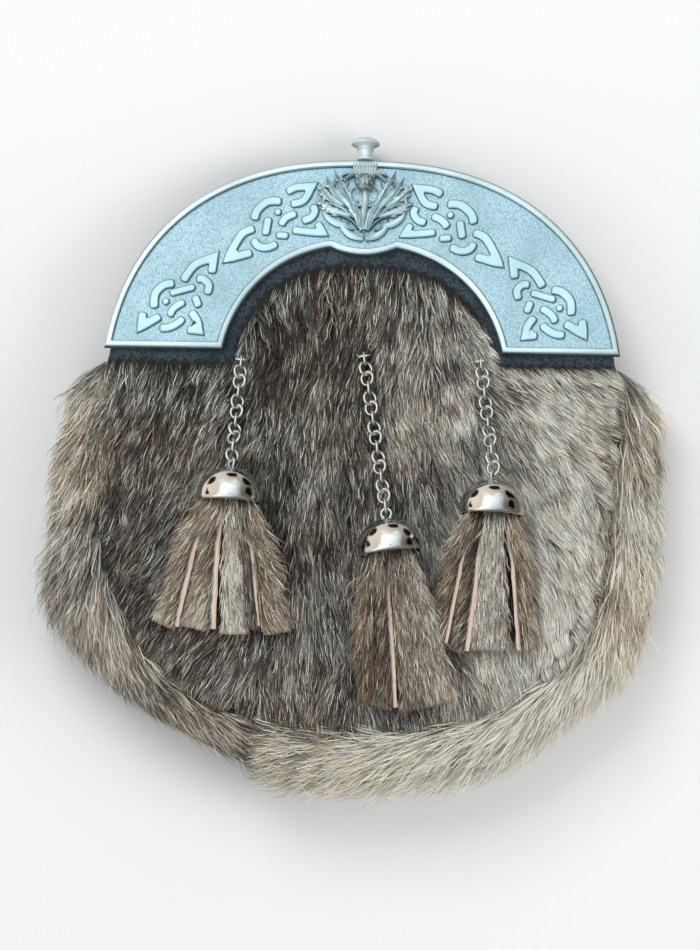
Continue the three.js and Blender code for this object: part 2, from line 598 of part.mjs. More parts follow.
function hangingPath({ x, y, lean, links }) {
  const down = heading(lean);
  const length = 2 * HOLD + (links - 1) * linkPitch;
  const spot = (run) => new THREE.Vector2(x, y).addScaledVector(down, run);
  const pileAt = (run) => pileHeight(spot(run).x, spot(run).y);
  const capBed = Math.max(...CAP_BED.map((share) => pileAt(length + CAP_LENGTH * share)));
  const eyeHeight = capBed + CAP.lipRadius + 2 * GAP - CAP_LENGTH * Math.sin(CAP_PITCH);
  const rise = eyeHeight - pileAt(length) - CHAIN_REST;
  const pointAt = (run) => {
    const risen = THREE.MathUtils.smoothstep(run / length, CHAIN_RISE.from, CHAIN_RISE.to);
    return new THREE.Vector3(spot(run).x, spot(run).y, pileAt(run) + CHAIN_REST + rise * risen);
  };
  const points = [pointAt(0)];
  const stretches = [HOLD, ...new Array(links - 1).fill(linkPitch), HOLD];
  let run = 0;
  let previous = points[0];
  for (const stretch of stretches) {
    let travelled = 0;
    while (travelled < stretch) {
      run += CHAIN_TRACE;
      const next = pointAt(run);
      travelled += next.distanceTo(previous);
      previous = next;
    }
    points.push(previous);
  }
  return { points, capBed };
}

// A link, with an edge of its many-sided wire turned inwards so that neighbours meet edge to edge
function linkGeometry() {
  const wire = LINK.wire / 2;
  const link = new THREE.TorusGeometry(linkHalfLength, -wire, LINK.wireSides, LINK.sides);
  return link.scale((LINK.width / 2 - wire) / linkHalfLength, 1, 1);
}

function chainSolid({ points }) {
  const links = points.slice(1, -1).map((middle, i) => {
    const run = points[i].clone().sub(points[i + 2]).normalize();
    const flat = new THREE.Vector3().crossVectors(run, new THREE.Vector3(0, 0, 1)).normalize();
    const turned = flat.applyAxisAngle(run, Math.PI / 2 + ROLL_STEP * i);
    const face = new THREE.Vector3().crossVectors(turned, run);
    const place = new THREE.Matrix4().makeBasis(turned, run, face).setPosition(middle);
    return linkGeometry().applyMatrix4(place);
  });
  return join(links);
}

// A staple: a square hoop of wire standing on the pile across the chain
function stapleSolid() {
  const { wire, width, height, corner, sides, steps } = STAPLE;
  const half = width / 2;
  const hoop = new THREE.CurvePath();
  const leg = [[half - corner, 0], [half, -corner], [half, -height]];
  const corners = [...leg.map(([x, z]) => [-x, z]).reverse(), ...leg];
  corners.slice(1).forEach(([x, z], i) => {
    const start = new THREE.Vector3(corners[i][0], 0, corners[i][1]);
    hoop.add(new THREE.LineCurve3(start, new THREE.Vector3(x, 0, z)));
  });
  const round = { cy: 0, a: wire / 2, b: wire / 2, n: 2 };
  const section = new THREE.Shape(superArc(round, 0, 2 * Math.PI, sides).slice(0, sides));
  return toSolid(new THREE.ExtrudeGeometry(section, { steps, extrudePath: hoop }));
}

function capSolid(eyeRoll) {
  const { radius, wall, apex, dome, lip, lipRadius, sides } = CAP;
  const arc = (r, top, height, shares) => shares.map((t) => {
    const angle = (t * Math.PI) / 2;
    return new THREE.Vector2(r * Math.sin(angle), -top - height * (1 - Math.cos(angle)));
  });
  const outer = arc(radius, apex, dome, CAP_ARC.outer);
  const inner = arc(radius - wall, apex + wall, dome - wall, CAP_ARC.inner).reverse();
  const mouth = -CAP_LENGTH;
  const above = mouth + CAP_EDGE.height;
  const rim = [[lipRadius, above], [radius - CAP_EDGE.chamfer, mouth], [radius - wall, above]];
  const profile = [...outer, ...rim.map(([r, y]) => new THREE.Vector2(r, y)), ...inner];
  profile[0].x = 0;
  profile[profile.length - 1].x = 0;
  const eye = new THREE.TorusGeometry(CAP_EYE.radius, CAP_EYE.wire / 2, LINK.wireSides, LINK.sides);
  eye.translate(0, -CAP_EYE.radius, 0).rotateY(eyeRoll);
  return toSolid(new THREE.LatheGeometry(profile.reverse(), sides)).add(toSolid(eye));
}

// Strips of a tassel, in the frame of the whole part
function tasselSolid({ swing, strips, fan, path: { points, capBed } }) {
  const eye = points[points.length - 1];
  const middleLine = (along) => new THREE.Vector2(eye.x, eye.y).addScaledVector(heading(swing), along);
  const across = heading(swing + 90);
  const rows = [...STRIP_STATIONS, { along: CAP_LENGTH + strips, open: 1 }];
  const head = new THREE.CylinderGeometry(HEAD.radius, HEAD.radius, HEAD.to - HEAD.from, HEAD.sides);
  head.translate(0, -(HEAD.from + HEAD.to) / 2, 0).rotateX(-CAP_PITCH);
  head.rotateZ(THREE.MathUtils.degToRad(swing)).translate(eye.x, eye.y, eye.z);
  const pieces = [head];
  for (const { count, mouthHalf, spread, heights } of STRIP_LAYERS) {
    const endHalf = (fan * spread) / count - STRIP.slit / 2;
    for (let i = 0; i < count; i += 1) {
      const place = (2 * i) / (count - 1) - 1;
      const face = (offset) => rows.map(({ along, open }, k) => {
        const half = THREE.MathUtils.lerp(STRIP.mouthWidth / 2, endHalf, open);
        const middle = place * THREE.MathUtils.lerp(mouthHalf, fan * spread - endHalf, open);
        return [middle - half, middle + half].map((side) => {
          const plan = middleLine(along).addScaledVector(across, side);
          const pile = pileHeight(plan.x, plan.y);
          const bed = Math.max(pile, THREE.MathUtils.lerp(capBed, pile, open));
          return new THREE.Vector3(plan.x, plan.y, bed + heights[k] + offset);
        });
      });
      pieces.push(sheet(face(STRIP.thick / 2), face(-STRIP.thick / 2)));
    }
  }
  return join(pieces);
}

const hangings = HANGINGS.map((row) => ({ ...row, path: hangingPath(row) }));

// Where a chain or tassel presses the pile flat
function isPressed(x, y) {
  const { above, chain, beforeEye, cap, beyondFan } = PRESSED;
  const spot = new THREE.Vector2(x, y);
  return hangings.some(({ swing, fan, strips, path: { points } }) => {
    const top = new THREE.Vector2(points[0].x, points[0].y);
    const eye = new THREE.Vector2(points[points.length - 1].x, points[points.length - 1].y);
    const chainRun = eye.clone().sub(top);
    const chainLength = chainRun.length();
    const onChain = spot.clone().sub(top);
    const chainShare = onChain.dot(chainRun) / chainLength;
    const nearChain = chainShare > -above && chainShare < chainLength;
    const onTassel = spot.clone().sub(eye);
    const run = onTassel.dot(heading(swing));
    const open = THREE.MathUtils.clamp(run / (CAP_LENGTH + strips), 0, 1);
    const spread = THREE.MathUtils.lerp(cap, fan + beyondFan, open);
    const nearTassel = run > -beforeEye && run < CAP_LENGTH + strips + beyondFan;
    return (nearChain && Math.abs(onChain.cross(chainRun)) < chain * chainLength)
      || (nearTassel && Math.abs(onTassel.cross(heading(swing))) < spread);
  });
}

// Pile of the front: a sheet over the hide drawn out into locks that run down and away from the middle
function frontFurSolid() {
  const ys = FRONT_SECTIONS.flatMap(({ y }, i) => {
    const next = FRONT_SECTIONS[i + 1]?.y ?? y;
    const steps = Math.max(1, Math.round((y - next) / FUR_ROW_PITCH));
    return Array.from({ length: steps }, (_, k) => y + ((next - y) * k) / steps);
  });
  const flat = GAP + FLAT_PILE;
  const outer = frontGrid(ys, FRONT_COLUMNS, (x, y, i, j) => {
    const run = new THREE.Vector2(x / FRONT_LOCK.fanOut, -1).normalize().multiplyScalar(FRONT_LOCK.lean);
    const pressed = isPressed(x, y) || isPressed(x + run.x, y + run.y);
    return (i + j) % 2 === 1 || pressed ? { lift: flat } : { lift: FRONT_LOCK.lift, shift: run };
  });
  const inner = frontGrid(ys, FRONT_COLUMNS, () => ({ lift: GAP }));
  return toSolid(sheet(outer, inner)).intersect(tall(panelOutline(FUR_SET_BACK)));
}

function backPanelSolid() {
  const last = GUSSET_SECTION.length - 1;
  const edge = stations.map((station) => gussetPoint(station, last, 0)).filter(({ y }) => y < BACK_TOP_Y);
  const topX = halfWidthAt(OUTER_ARCH, (BACK_TOP_Y - FOOT_Y) / Math.cos(TILT)) - GUSSET_INSET;
  const outline = [[topX, BACK_TOP_Y], ...edge.map(({ x, y }) => [x, y]), [-topX, BACK_TOP_Y]];
  return toSolid(prism(outline.map(([x, y]) => new THREE.Vector2(x, y)).reverse(), 0, LEATHER));
}

// A loop in profile: a strip on the ground between two legs that reach up to the back of the yoke
function strapLoopSolid(side) {
  const { x, width, fromY, toY, leather } = STRAP_LOOP;
  const under = (y) => yokeBack(y) - GAP;
  const profile = [
    [fromY, 0], [toY, 0], [toY, under(toY)], [toY - leather, under(toY - leather)], [toY - leather, leather],
    [fromY + leather, leather], [fromY + leather, under(fromY + leather)], [fromY, under(fromY)],
  ];
  const loop = prism(profile.map(([y, z]) => new THREE.Vector2(y, z)), -width / 2, width / 2);
  const [alongX, alongY, alongZ] = [0, 1, 2].map((axis) => new THREE.Vector3().setComponent(axis, 1));
  loop.applyMatrix4(new THREE.Matrix4().makeBasis(alongY, alongZ, alongX));
  return toSolid(loop.translate(side * x, 0, 0));
}

const sporran = new THREE.Group();
sporran.add(part("back_panel", backPanelSolid(), blackLeather));
sporran.add(part("gusset", gussetSheet(stations, sectionRows, -HIDE, 0), hideLeather));
sporran.add(part("gusset_fur", gussetFurSolid(), paleFur));
sporran.add(part("front_panel", frontPanelSolid(), hideLeather));
sporran.add(part("front_fur", frontFurSolid(), greyFur));

const crest = new THREE.Group();
crest.position.set(0, FOOT_Y, FOOT_Z);
crest.rotation.x = -TILT;
crest.add(part("yoke", yokeSolid(), blackLeather));
crest.add(part("cantle", cantleSolid(), metalSilver));
crest.add(part("thistle_badge", badgeSolid(), metalSilver));
crest.add(part("finial", finialSolid(), metalSilver));
sporran.add(crest);

for (const hanging of hangings) {
  const { side, lean, swing, links, path } = hanging;
  const staple = part(`staple_${side}`, stapleSolid(), metalChrome);
  staple.position.copy(path.points[0]);
  staple.rotation.z = THREE.MathUtils.degToRad(lean);
  sporran.add(staple);
  sporran.add(part(`chain_${side}`, chainSolid(path), metalChrome));
  const hung = new THREE.Group();
  hung.position.copy(path.points[path.points.length - 1]);
  hung.rotation.z = THREE.MathUtils.degToRad(swing);
  const cap = part(`tassel_cap_${side}`, capSolid(ROLL_STEP * (links - 1)), metalChrome);
  cap.rotation.x = -CAP_PITCH;
  hung.add(cap);
  sporran.add(hung);
  sporran.add(part(`tassel_${side}`, tasselSolid(hanging), tasselFur));
}

sporran.add(part("strap_loop_left", strapLoopSolid(-1), blackLeather));
sporran.add(part("strap_loop_right", strapLoopSolid(1), blackLeather));

export default sporran;
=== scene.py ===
import math

import bmesh
import bpy
import numpy as np
from mathutils import Matrix, Vector
from mathutils.kdtree import KDTree


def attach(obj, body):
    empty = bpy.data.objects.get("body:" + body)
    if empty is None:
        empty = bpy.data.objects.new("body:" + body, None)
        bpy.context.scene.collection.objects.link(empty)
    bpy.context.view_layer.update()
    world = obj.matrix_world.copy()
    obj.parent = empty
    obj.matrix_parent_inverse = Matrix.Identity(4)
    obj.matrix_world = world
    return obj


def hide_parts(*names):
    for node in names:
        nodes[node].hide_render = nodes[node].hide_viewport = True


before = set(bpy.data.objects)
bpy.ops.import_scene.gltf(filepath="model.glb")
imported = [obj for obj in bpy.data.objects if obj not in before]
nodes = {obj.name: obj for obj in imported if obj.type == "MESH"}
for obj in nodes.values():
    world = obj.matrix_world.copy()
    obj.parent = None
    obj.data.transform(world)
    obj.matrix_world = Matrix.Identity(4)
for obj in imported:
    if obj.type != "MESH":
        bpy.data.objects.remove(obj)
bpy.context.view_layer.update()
mm = 0.001
print("frame loaded with", len(nodes), "nodes")


# Small sums used all over
def mix(a, b, share):
    return a + (b - a) * share


def ease(value, low, high):
    share = np.clip((value - low) / (high - low), 0, 1)
    return share * share * (3 - 2 * share)


def unit(vectors):
    return vectors / np.linalg.norm(vectors, axis=-1, keepdims=True)


def headingOf(degrees):
    return np.array((math.sin(math.radians(degrees)), -math.cos(math.radians(degrees)), 0.0))


noise = {"seed": 11, "cells": 128, "shift": 500}
noiseTable = np.random.default_rng(noise["seed"]).random((noise["cells"], noise["cells"]))


def patchNoise(x, y, size):
    # soft patches from 0 to 1, about one size across
    gx, gy = x / size + noise["shift"], y / size + noise["shift"]
    ix, iy = np.floor(gx).astype(int), np.floor(gy).astype(int)
    fx, fy = ease(gx - ix, 0, 1), ease(gy - iy, 0, 1)

    def corner(dx, dy):
        return noiseTable[(ix + dx) % noise["cells"], (iy + dy) % noise["cells"]]

    return mix(mix(corner(0, 0), corner(1, 0), fx), mix(corner(0, 1), corner(1, 1), fx), fy)


# Shader nodes
def feed(tree, node, inputs):
    # each input gets a value, or is wired from another node's output
    for socket, given in inputs.items():
        if isinstance(given, bpy.types.NodeSocket):
            tree.links.new(given, node.inputs[socket])
        else:
            node.inputs[socket].default_value = given


def addNode(tree, kind, inputs=None, **settings):
    node = tree.nodes.new("ShaderNode" + kind)
    for key, value in settings.items():
        setattr(node, key, value)
    feed(tree, node, inputs or {})
    return node


def addSum(tree, operation, *terms):
    return addNode(tree, "Math", dict(enumerate(terms)), operation=operation).outputs[0]


def blendColors(tree, share, first, second, how="MIX"):
    inputs = {0: share, 6: first, 7: second}
    return addNode(tree, "Mix", inputs, data_type="RGBA", blend_type=how).outputs[2]


def blendNumbers(tree, share, first, second):
    return addNode(tree, "Mix", {0: share, 2: first, 3: second}, data_type="FLOAT").outputs[0]


def ramped(tree, number, low, high):
    # 0 at the low end, 1 at the high end
    ends = {"Value": number, "From Min": low, "From Max": high}
    return addNode(tree, "MapRange", ends, clamp=True).outputs["Result"]


def newMaterial(name):
    material = bpy.data.materials.new(name)
    material.use_nodes = True
    tree = material.node_tree
    return material, tree, tree.nodes["Principled BSDF"]


def newGroup(name, inputs, outputs):
    tree = bpy.data.node_groups.new(name, "ShaderNodeTree")
    for label, (kind, value) in inputs.items():
        socket = tree.interface.new_socket(label, in_out="INPUT", socket_type="NodeSocket" + kind)
        socket.default_value = value
    for label, kind in outputs.items():
        tree.interface.new_socket(label, in_out="OUTPUT", socket_type="NodeSocket" + kind)
    return tree, tree.nodes.new("NodeGroupInput").outputs, tree.nodes.new("NodeGroupOutput")


# Camera straight above the lying pouch, light and floor
studio = {
    "frameHeight": 305.0, "middle": (-3.2, -1.9), "roll": 1.0, "cameraHeight": 1700.0, "sharpPlane": 28.0,
    "sensor": 36.0, "farClip": 20.0,
    "floorSize": 6.0, "floorCells": 8, "floorColor": (0.78, 0.78, 0.78, 1), "floorGloss": 0.9,
    "skyColor": (0.96, 0.98, 1.0, 1), "skyStrength": 0.62,
}


def makeCamera():
    data = bpy.data.cameras.new("camera")
    camera = bpy.data.objects.new("camera", data)
    bpy.context.scene.collection.objects.link(camera)
    camera.location = (studio["middle"][0] * mm, studio["middle"][1] * mm, studio["cameraHeight"] * mm)
    camera.rotation_euler = (0, 0, math.radians(studio["roll"]))
    data.sensor_width = studio["sensor"]
    data.lens = studio["sensor"] * (studio["cameraHeight"] - studio["sharpPlane"]) / studio["frameHeight"]
    data.clip_end = studio["farClip"]
    bpy.context.scene.camera = camera


lamps = [  # name, place, aimed at, size, watts, colour
    ("window", (-0.35, 0.75, 1.1), (0, 0, 0.03), 0.7, 9.0, (0.96, 0.99, 1.0)),
    ("side", (1.0, -0.2, 0.8), (0, 0, 0.03), 0.8, 6.0, (1.0, 0.98, 0.95)),
    ("front", (-0.7, -0.9, 0.7), (0, 0, 0.03), 0.9, 3.0, (1.0, 0.98, 0.96)),
]


def makeLight():
    for name, place, target, size, watts, color in lamps:
        data = bpy.data.lights.new(name, "AREA")
        data.energy, data.size, data.color = watts, size, color
        lamp = bpy.data.objects.new(name, data)
        bpy.context.scene.collection.objects.link(lamp)
        lamp.location = place
        lamp.visible_glossy = False  # the metal mirrors the room only
        lamp.rotation_euler = (Vector(target) - Vector(place)).to_track_quat("-Z", "Y").to_euler()
    world = bpy.data.worlds.new("studio")
    bpy.context.scene.world = world
    world.use_nodes = True
    tree = world.node_tree
    plain = tree.nodes["Background"]
    feed(tree, plain, {"Color": studio["skyColor"], "Strength": studio["skyStrength"]})
    mirrored = addNode(tree, "Background", {"Color": roomColor(tree), "Strength": room["strength"]})
    glossy = addNode(tree, "LightPath").outputs["Is Glossy Ray"]
    either = addNode(tree, "MixShader", {0: glossy, 1: plain.outputs[0], 2: mirrored.outputs[0]})
    feed(tree, tree.nodes["World Output"], {"Surface": either.outputs[0]})
    bpy.context.scene.view_settings.view_transform = "Standard"


room = {  # what the polished metal mirrors, by direction
    "strength": 1.45, "windowColor": (0.90, 0.99, 1.0, 1), "wallColor": (0.43, 0.375, 0.31, 1),
    "lowColor": (0.08, 0.077, 0.074, 1), "lowLimit": -0.78, "furnitureColor": (0.012, 0.010, 0.010, 1),
    "crooked": 0.36, "crookedScale": 2.6, "soft": 0.04, "far": 2.0,
    "narrowing": 0.30, "paneHalf": 0.66, "paneLow": -0.7, "paneHigh": 0.84, "paneSoft": 0.12, "sill": 0.2,
    "lightSide": (-0.8, 0.5), "darkest": 0.25,
    "furniture": [((-0.70, 0.68, -0.12), 0.24), ((-0.94, 0.18, 0.06), 0.17), ((0.08, 0.96, -0.12), 0.21),
                  ((0.71, 0.69, -0.05), 0.25), ((0.92, 0.26, 0.22), 0.22), ((0.0, 0.16, 0.98), 0.06)],
    "furnitureSoft": 0.12,
}


def roomColor(tree):
    # a pale window overhead in a warm room with dark furniture, its lines a little crooked
    direction = addNode(tree, "TexCoord").outputs["Generated"]
    wave = addNode(tree, "TexNoise", {"Vector": direction, "Scale": room["crookedScale"]}).outputs["Color"]
    sway = {0: wave, 1: (room["crooked"],) * 3, 2: (-room["crooked"] / 2,) * 3}
    bend = addNode(tree, "VectorMath", sway, operation="MULTIPLY_ADD").outputs[0]
    spot = addNode(tree, "VectorMath", {0: direction, 1: bend}, operation="ADD").outputs[0]
    x, y, z = addNode(tree, "SeparateXYZ", {0: spot}).outputs

    def within(number, low, high, soft=room["soft"]):
        # one inside the two limits, with soft ends
        off = addSum(tree, "ABSOLUTE", addSum(tree, "SUBTRACT", number, (low + high) / 2))
        return ramped(tree, off, (high - low) / 2 + soft, (high - low) / 2 - soft)

    wide = addSum(tree, "MULTIPLY_ADD", y, room["narrowing"], addSum(tree, "ABSOLUTE", x))
    sides = within(wide, -room["far"], room["paneHalf"], room["paneSoft"])
    ends = within(y, room["paneLow"], room["paneHigh"], room["paneSoft"])
    above = within(z, room["sill"], room["far"])
    window = addSum(tree, "MULTIPLY", addSum(tree, "MULTIPLY", sides, ends), above)
    seen = blendColors(tree, window, room["wallColor"], room["windowColor"])
    seen = blendColors(tree, within(z, -room["far"], room["lowLimit"]), seen, room["lowColor"])
    for aim, reach in room["furniture"]:
        gap = addNode(tree, "VectorMath", {0: spot, 1: Vector(aim).normalized()}, operation="DISTANCE")
        near = within(gap.outputs["Value"], -reach, reach, reach * room["furnitureSoft"])
        seen = blendColors(tree, near, seen, room["furnitureColor"])
    # lighter towards the top left, level for what the cantle's face mirrors
    fall = addNode(tree, "VectorMath", {0: direction, 1: (*room["lightSide"], 0)}, operation="DOT_PRODUCT")
    level = 1 - room["lightSide"][1] * math.sin(2 * math.radians(crest["tilt"]))
    light = addSum(tree, "MAXIMUM", addSum(tree, "ADD", fall.outputs["Value"], level), room["darkest"])
    return addNode(tree, "VectorMath", {0: seen, "Scale": light}, operation="SCALE").outputs[0]


def makeFloor():
    bm = bmesh.new()
    cells = studio["floorCells"]
    bmesh.ops.create_grid(bm, x_segments=cells, y_segments=cells, size=studio["floorSize"] / 2)
    mesh = bpy.data.meshes.new("floor")
    bm.to_mesh(mesh)
    bm.free()
    floor = bpy.data.objects.new("floor", mesh)
    bpy.context.scene.collection.objects.link(floor)
    floor.visible_glossy = False
    material, tree, shader = newMaterial("floorPaper")
    feed(tree, shader, {"Base Color": studio["floorColor"], "Roughness": studio["floorGloss"]})
    mesh.materials.append(material)


# Materials
def makeTarnish():
    # cloudy change between a clean and a dull tone, each with its gloss
    tree, given, result = newGroup("tarnish", {
        "Clean": ("Color", (1, 1, 1, 1)), "Dull": ("Color", (0.3, 0.3, 0.3, 1)), "Scale": ("Float", 60.0),
        "Smooth Gloss": ("Float", 0.25), "Dull Gloss": ("Float", 0.5),
    }, {"Color": "Color", "Roughness": "Float"})
    place = addNode(tree, "TexCoord").outputs["Object"]
    texture = {"Vector": place, "Scale": given["Scale"], "Detail": 6, "Roughness": 0.62}
    share = ramped(tree, addNode(tree, "TexNoise", texture).outputs["Fac"], 0.36, 0.68)
    gloss = blendNumbers(tree, share, given["Smooth Gloss"], given["Dull Gloss"])
    color = blendColors(tree, share, given["Clean"], given["Dull"])
    feed(tree, result, {"Color": color, "Roughness": gloss})
    return tree


def makePebble():
    # fine pebbled surface: height for a bump and a mask of its hollows, which take painted shade
    tree, given, result = newGroup("pebble", {"Scale": ("Float", 900.0), "Ragged": ("Float", 0.35)},
                                   {"Height": "Float", "Hollow Shade": "Float"})
    place = addNode(tree, "TexCoord").outputs["Object"]
    cells = addNode(tree, "TexVoronoi", {"Vector": place, "Scale": given["Scale"], "Smoothness": 0.6},
                    feature="SMOOTH_F1")
    finer = addSum(tree, "MULTIPLY", given["Scale"], 2.3)
    grit = addNode(tree, "TexNoise", {"Vector": place, "Scale": finer, "Detail": 3})
    height = blendNumbers(tree, given["Ragged"], cells.outputs["Distance"], grit.outputs["Fac"])
    feed(tree, result, {"Height": height, "Hollow Shade": ramped(tree, height, 0.35, 0.62)})
    return tree


tarnish = makeTarnish()
pebble = makePebble()


def addTone(tree, clean, dull, scale, gloss, dullGloss):
    values = {"Clean": (*clean, 1), "Dull": (*dull, 1), "Scale": scale, "Smooth Gloss": gloss,
              "Dull Gloss": dullGloss}
    return addNode(tree, "Group", values, node_tree=tarnish).outputs


def addGrain(tree, shader, color, scale, ragged, hollowShade, strength, depth):
    # pebbled relief, with a darker colour in its hollows: painted shade, on the metal also its patina
    grain = addNode(tree, "Group", {"Scale": scale, "Ragged": ragged}, node_tree=pebble).outputs
    relief = {"Strength": strength, "Distance": depth * mm, "Height": grain["Height"]}
    bump = addNode(tree, "Bump", relief, invert=True)
    feed(tree, shader, {"Base Color": blendColors(tree, grain["Hollow Shade"], color, (*hollowShade, 1)),
                        "Normal": bump.outputs["Normal"]})


def metalMaterial(name, clean, dull, gloss, dullGloss, scale=45.0, metallic=1.0, stipple=None):
    material, tree, shader = newMaterial(name)
    tone = addTone(tree, clean, dull, scale, gloss, dullGloss)
    feed(tree, shader, {"Metallic": metallic, "Base Color": tone["Color"], "Roughness": tone["Roughness"]})
    if stipple:
        addGrain(tree, shader, tone["Color"], **stipple)
    return material


leatherFinish = {"cloud": 90.0, "gloss": (0.5, 0.7), "specular": 0.35, "ragged": 0.3, "depth": 0.4}


def leatherMaterial(name, clean, dull, scale, strength, shadeDepth=0.95):
    material, tree, shader = newMaterial(name)
    tone = addTone(tree, clean, dull, leatherFinish["cloud"], *leatherFinish["gloss"])
    feed(tree, shader, {"Specular IOR Level": leatherFinish["specular"], "Roughness": tone["Roughness"]})
    # the grain's hollows are darkened with the dull tone times the shade depth: painted shade
    addGrain(tree, shader, tone["Color"], scale, leatherFinish["ragged"], [value * shadeDepth for value in dull],
             strength, leatherFinish["depth"])
    return material


silver = {
    "rim": metalMaterial("silverRim", (0.71, 0.83, 0.87), (0.58, 0.70, 0.74), 0.34, 0.46),
    # groove: dark patina and painted shade, on the walls round the pads, the rim's foot and the badge's
    # steep sides
    "groove": metalMaterial("silverGroovePatinaShade", (0.24, 0.34, 0.38), (0.14, 0.21, 0.24), 0.5, 0.7),
    "ground": metalMaterial("silverGround", (0.585, 0.80, 0.90), (0.48, 0.68, 0.78), 0.42, 0.55,
                            stipple={"scale": 1500.0, "ragged": 0.45, "hollowShade": (0.38, 0.53, 0.62),
                                     "strength": 0.6, "depth": 0.3}),
    "pad": metalMaterial("silverPad", (0.57, 0.78, 0.84), (0.48, 0.68, 0.75), 0.36, 0.46),
    "finial": metalMaterial("silverFinial", (0.80, 0.90, 0.93), (0.68, 0.79, 0.83), 0.40, 0.52,
                            metallic=0.6),
    "antique": metalMaterial("silverAntique", (0.74, 0.88, 0.92), (0.52, 0.65, 0.70), 0.32, 0.48,
                             scale=300.0, metallic=0.75),
    "burr": metalMaterial("silverBurr", (0.60, 0.74, 0.78), (0.40, 0.50, 0.53), 0.35, 0.5, scale=300.0,
                          stipple={"scale": 1250.0, "ragged": 0.45, "hollowShade": (0.17, 0.21, 0.22),
                                   "strength": 1.0, "depth": 0.5}),
}
chrome = metalMaterial("chrome", (0.72, 0.735, 0.735), (0.64, 0.65, 0.65), 0.05, 0.12, scale=120.0)
blackLeather = leatherMaterial("blackLeather", (0.056, 0.080, 0.098), (0.032, 0.047, 0.060), 1050.0, 1.0,
                               shadeDepth=0.5)
hideSuede = leatherMaterial("hideSuede", (0.015, 0.0135, 0.0125), (0.008, 0.007, 0.0065), 2600.0, 0.8)
thread = leatherMaterial("waxedThread", (0.16, 0.14, 0.12), (0.10, 0.085, 0.07), 4000.0, 0.5)
bareHide = leatherMaterial("bareHide", (0.34, 0.215, 0.135), (0.20, 0.12, 0.075), 2600.0, 0.8)
cutEdge = leatherMaterial("cutHideEdge", (0.92, 0.82, 0.71), (0.72, 0.57, 0.44), 3000.0, 0.6)


# Fur: u picks the tone, cool in the lower half and warm in the upper one, and v runs from root to tip
furTones = {
    "cool": [(0.0, (0.012, 0.011, 0.011)), (0.25, (0.054, 0.052, 0.049)), (0.5, (0.190, 0.184, 0.168)),
             (0.75, (0.46, 0.45, 0.405)), (1.0, (0.86, 0.85, 0.77))],
    "warm": [(0.0, (0.022, 0.014, 0.010)), (0.25, (0.090, 0.060, 0.042)), (0.5, (0.245, 0.185, 0.132)),
             (0.75, (0.50, 0.42, 0.32)), (1.0, (0.86, 0.79, 0.64))],
    # along the hair: dark root, pale band, darker tip; the dark root is partly the hair's own banding and
    # partly painted shade deep in the coat
    "along": [(0.0, (0.22, 0.21, 0.20)), (0.3, (0.46, 0.45, 0.44)), (0.55, (0.95, 0.95, 0.95)),
              (0.84, (1, 1, 1)), (1.0, (0.52, 0.51, 0.50))],
    "half": 0.49,  # share of the ramp that each of the two takes
}


def setRamp(ramp, stops):
    elements = ramp.color_ramp.elements
    while len(elements) < len(stops):
        elements.new(0.5)
    for element, (place, color) in zip(elements, stops):
        element.position = place
        element.color = (*color, 1)


def furMaterial():
    material, tree, shader = newMaterial("agoutiFur")
    uv = addNode(tree, "SeparateXYZ", {0: addNode(tree, "UVMap", uv_map="OFBake").outputs["UV"]}).outputs
    tones = addNode(tree, "ValToRGB", {"Fac": uv["X"]})
    along = addNode(tree, "ValToRGB", {"Fac": uv["Y"]})
    half = furTones["half"]
    stops = [(place * half, tone) for place, tone in furTones["cool"]]
    stops += [(1 - half + place * half, tone) for place, tone in furTones["warm"]]
    setRamp(tones, stops)
    setRamp(along, furTones["along"])
    # the along ramp darkens the roots, partly as painted shade
    color = blendColors(tree, 1, tones.outputs["Color"], along.outputs["Color"], "MULTIPLY")
    feed(tree, shader, {"Base Color": color, "Roughness": 0.55, "Specular IOR Level": 0.35})
    return material


fur = furMaterial()
print("materials made")


# Pieces
def finishPiece(name, bm, materials, replaced=(), place=None, sharp=40):
    # millimetres to metres, to its place, one object at the origin
    bmesh.ops.transform(bm, matrix=Matrix.Scale(mm, 4) @ (place or Matrix.Identity(4)), verts=bm.verts)
    mesh = bpy.data.meshes.new(name)
    bm.to_mesh(mesh)
    bm.free()
    mesh.polygons.foreach_set("use_smooth", [len(face.vertices) < 5 for face in mesh.polygons])
    mesh.set_sharp_from_angle(angle=math.radians(sharp))
    for material in materials:
        mesh.materials.append(material)
    addPiece(name, mesh, replaced)


def addPiece(name, mesh, replaced=()):
    piece = bpy.data.objects.new(name, mesh)
    bpy.context.scene.collection.objects.link(piece)
    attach(piece, "root")
    if replaced:
        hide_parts(*replaced)


def superArc(arch, start, end, steps):
    # a stretch of an oval, squarer as its n grows
    angles = np.linspace(start, end, steps + 1)

    def bend(value):
        return np.sign(value) * np.abs(value) ** (2 / arch["n"])

    x, y = arch["a"] * bend(np.cos(angles)), arch["cy"] + arch["b"] * bend(np.sin(angles))
    return np.stack((x, y), axis=1)


def angleAtHeight(arch, y):
    return math.asin(((y - arch["cy"]) / arch["b"]) ** (arch["n"] / 2))


def angleAtWidth(arch, x):
    return math.acos((x / arch["a"]) ** (arch["n"] / 2))


drawing = {
    "sharpTurn": 0.25,  # cosine of the turn from which a line keeps its corner
    "bandMiter": 0.55, "insetMiter": 0.35, "trace": 0.1, "endClear": 0.2, "slack": 0.02, "cornerSteps": 5,
    "weld": 0.0005,
}


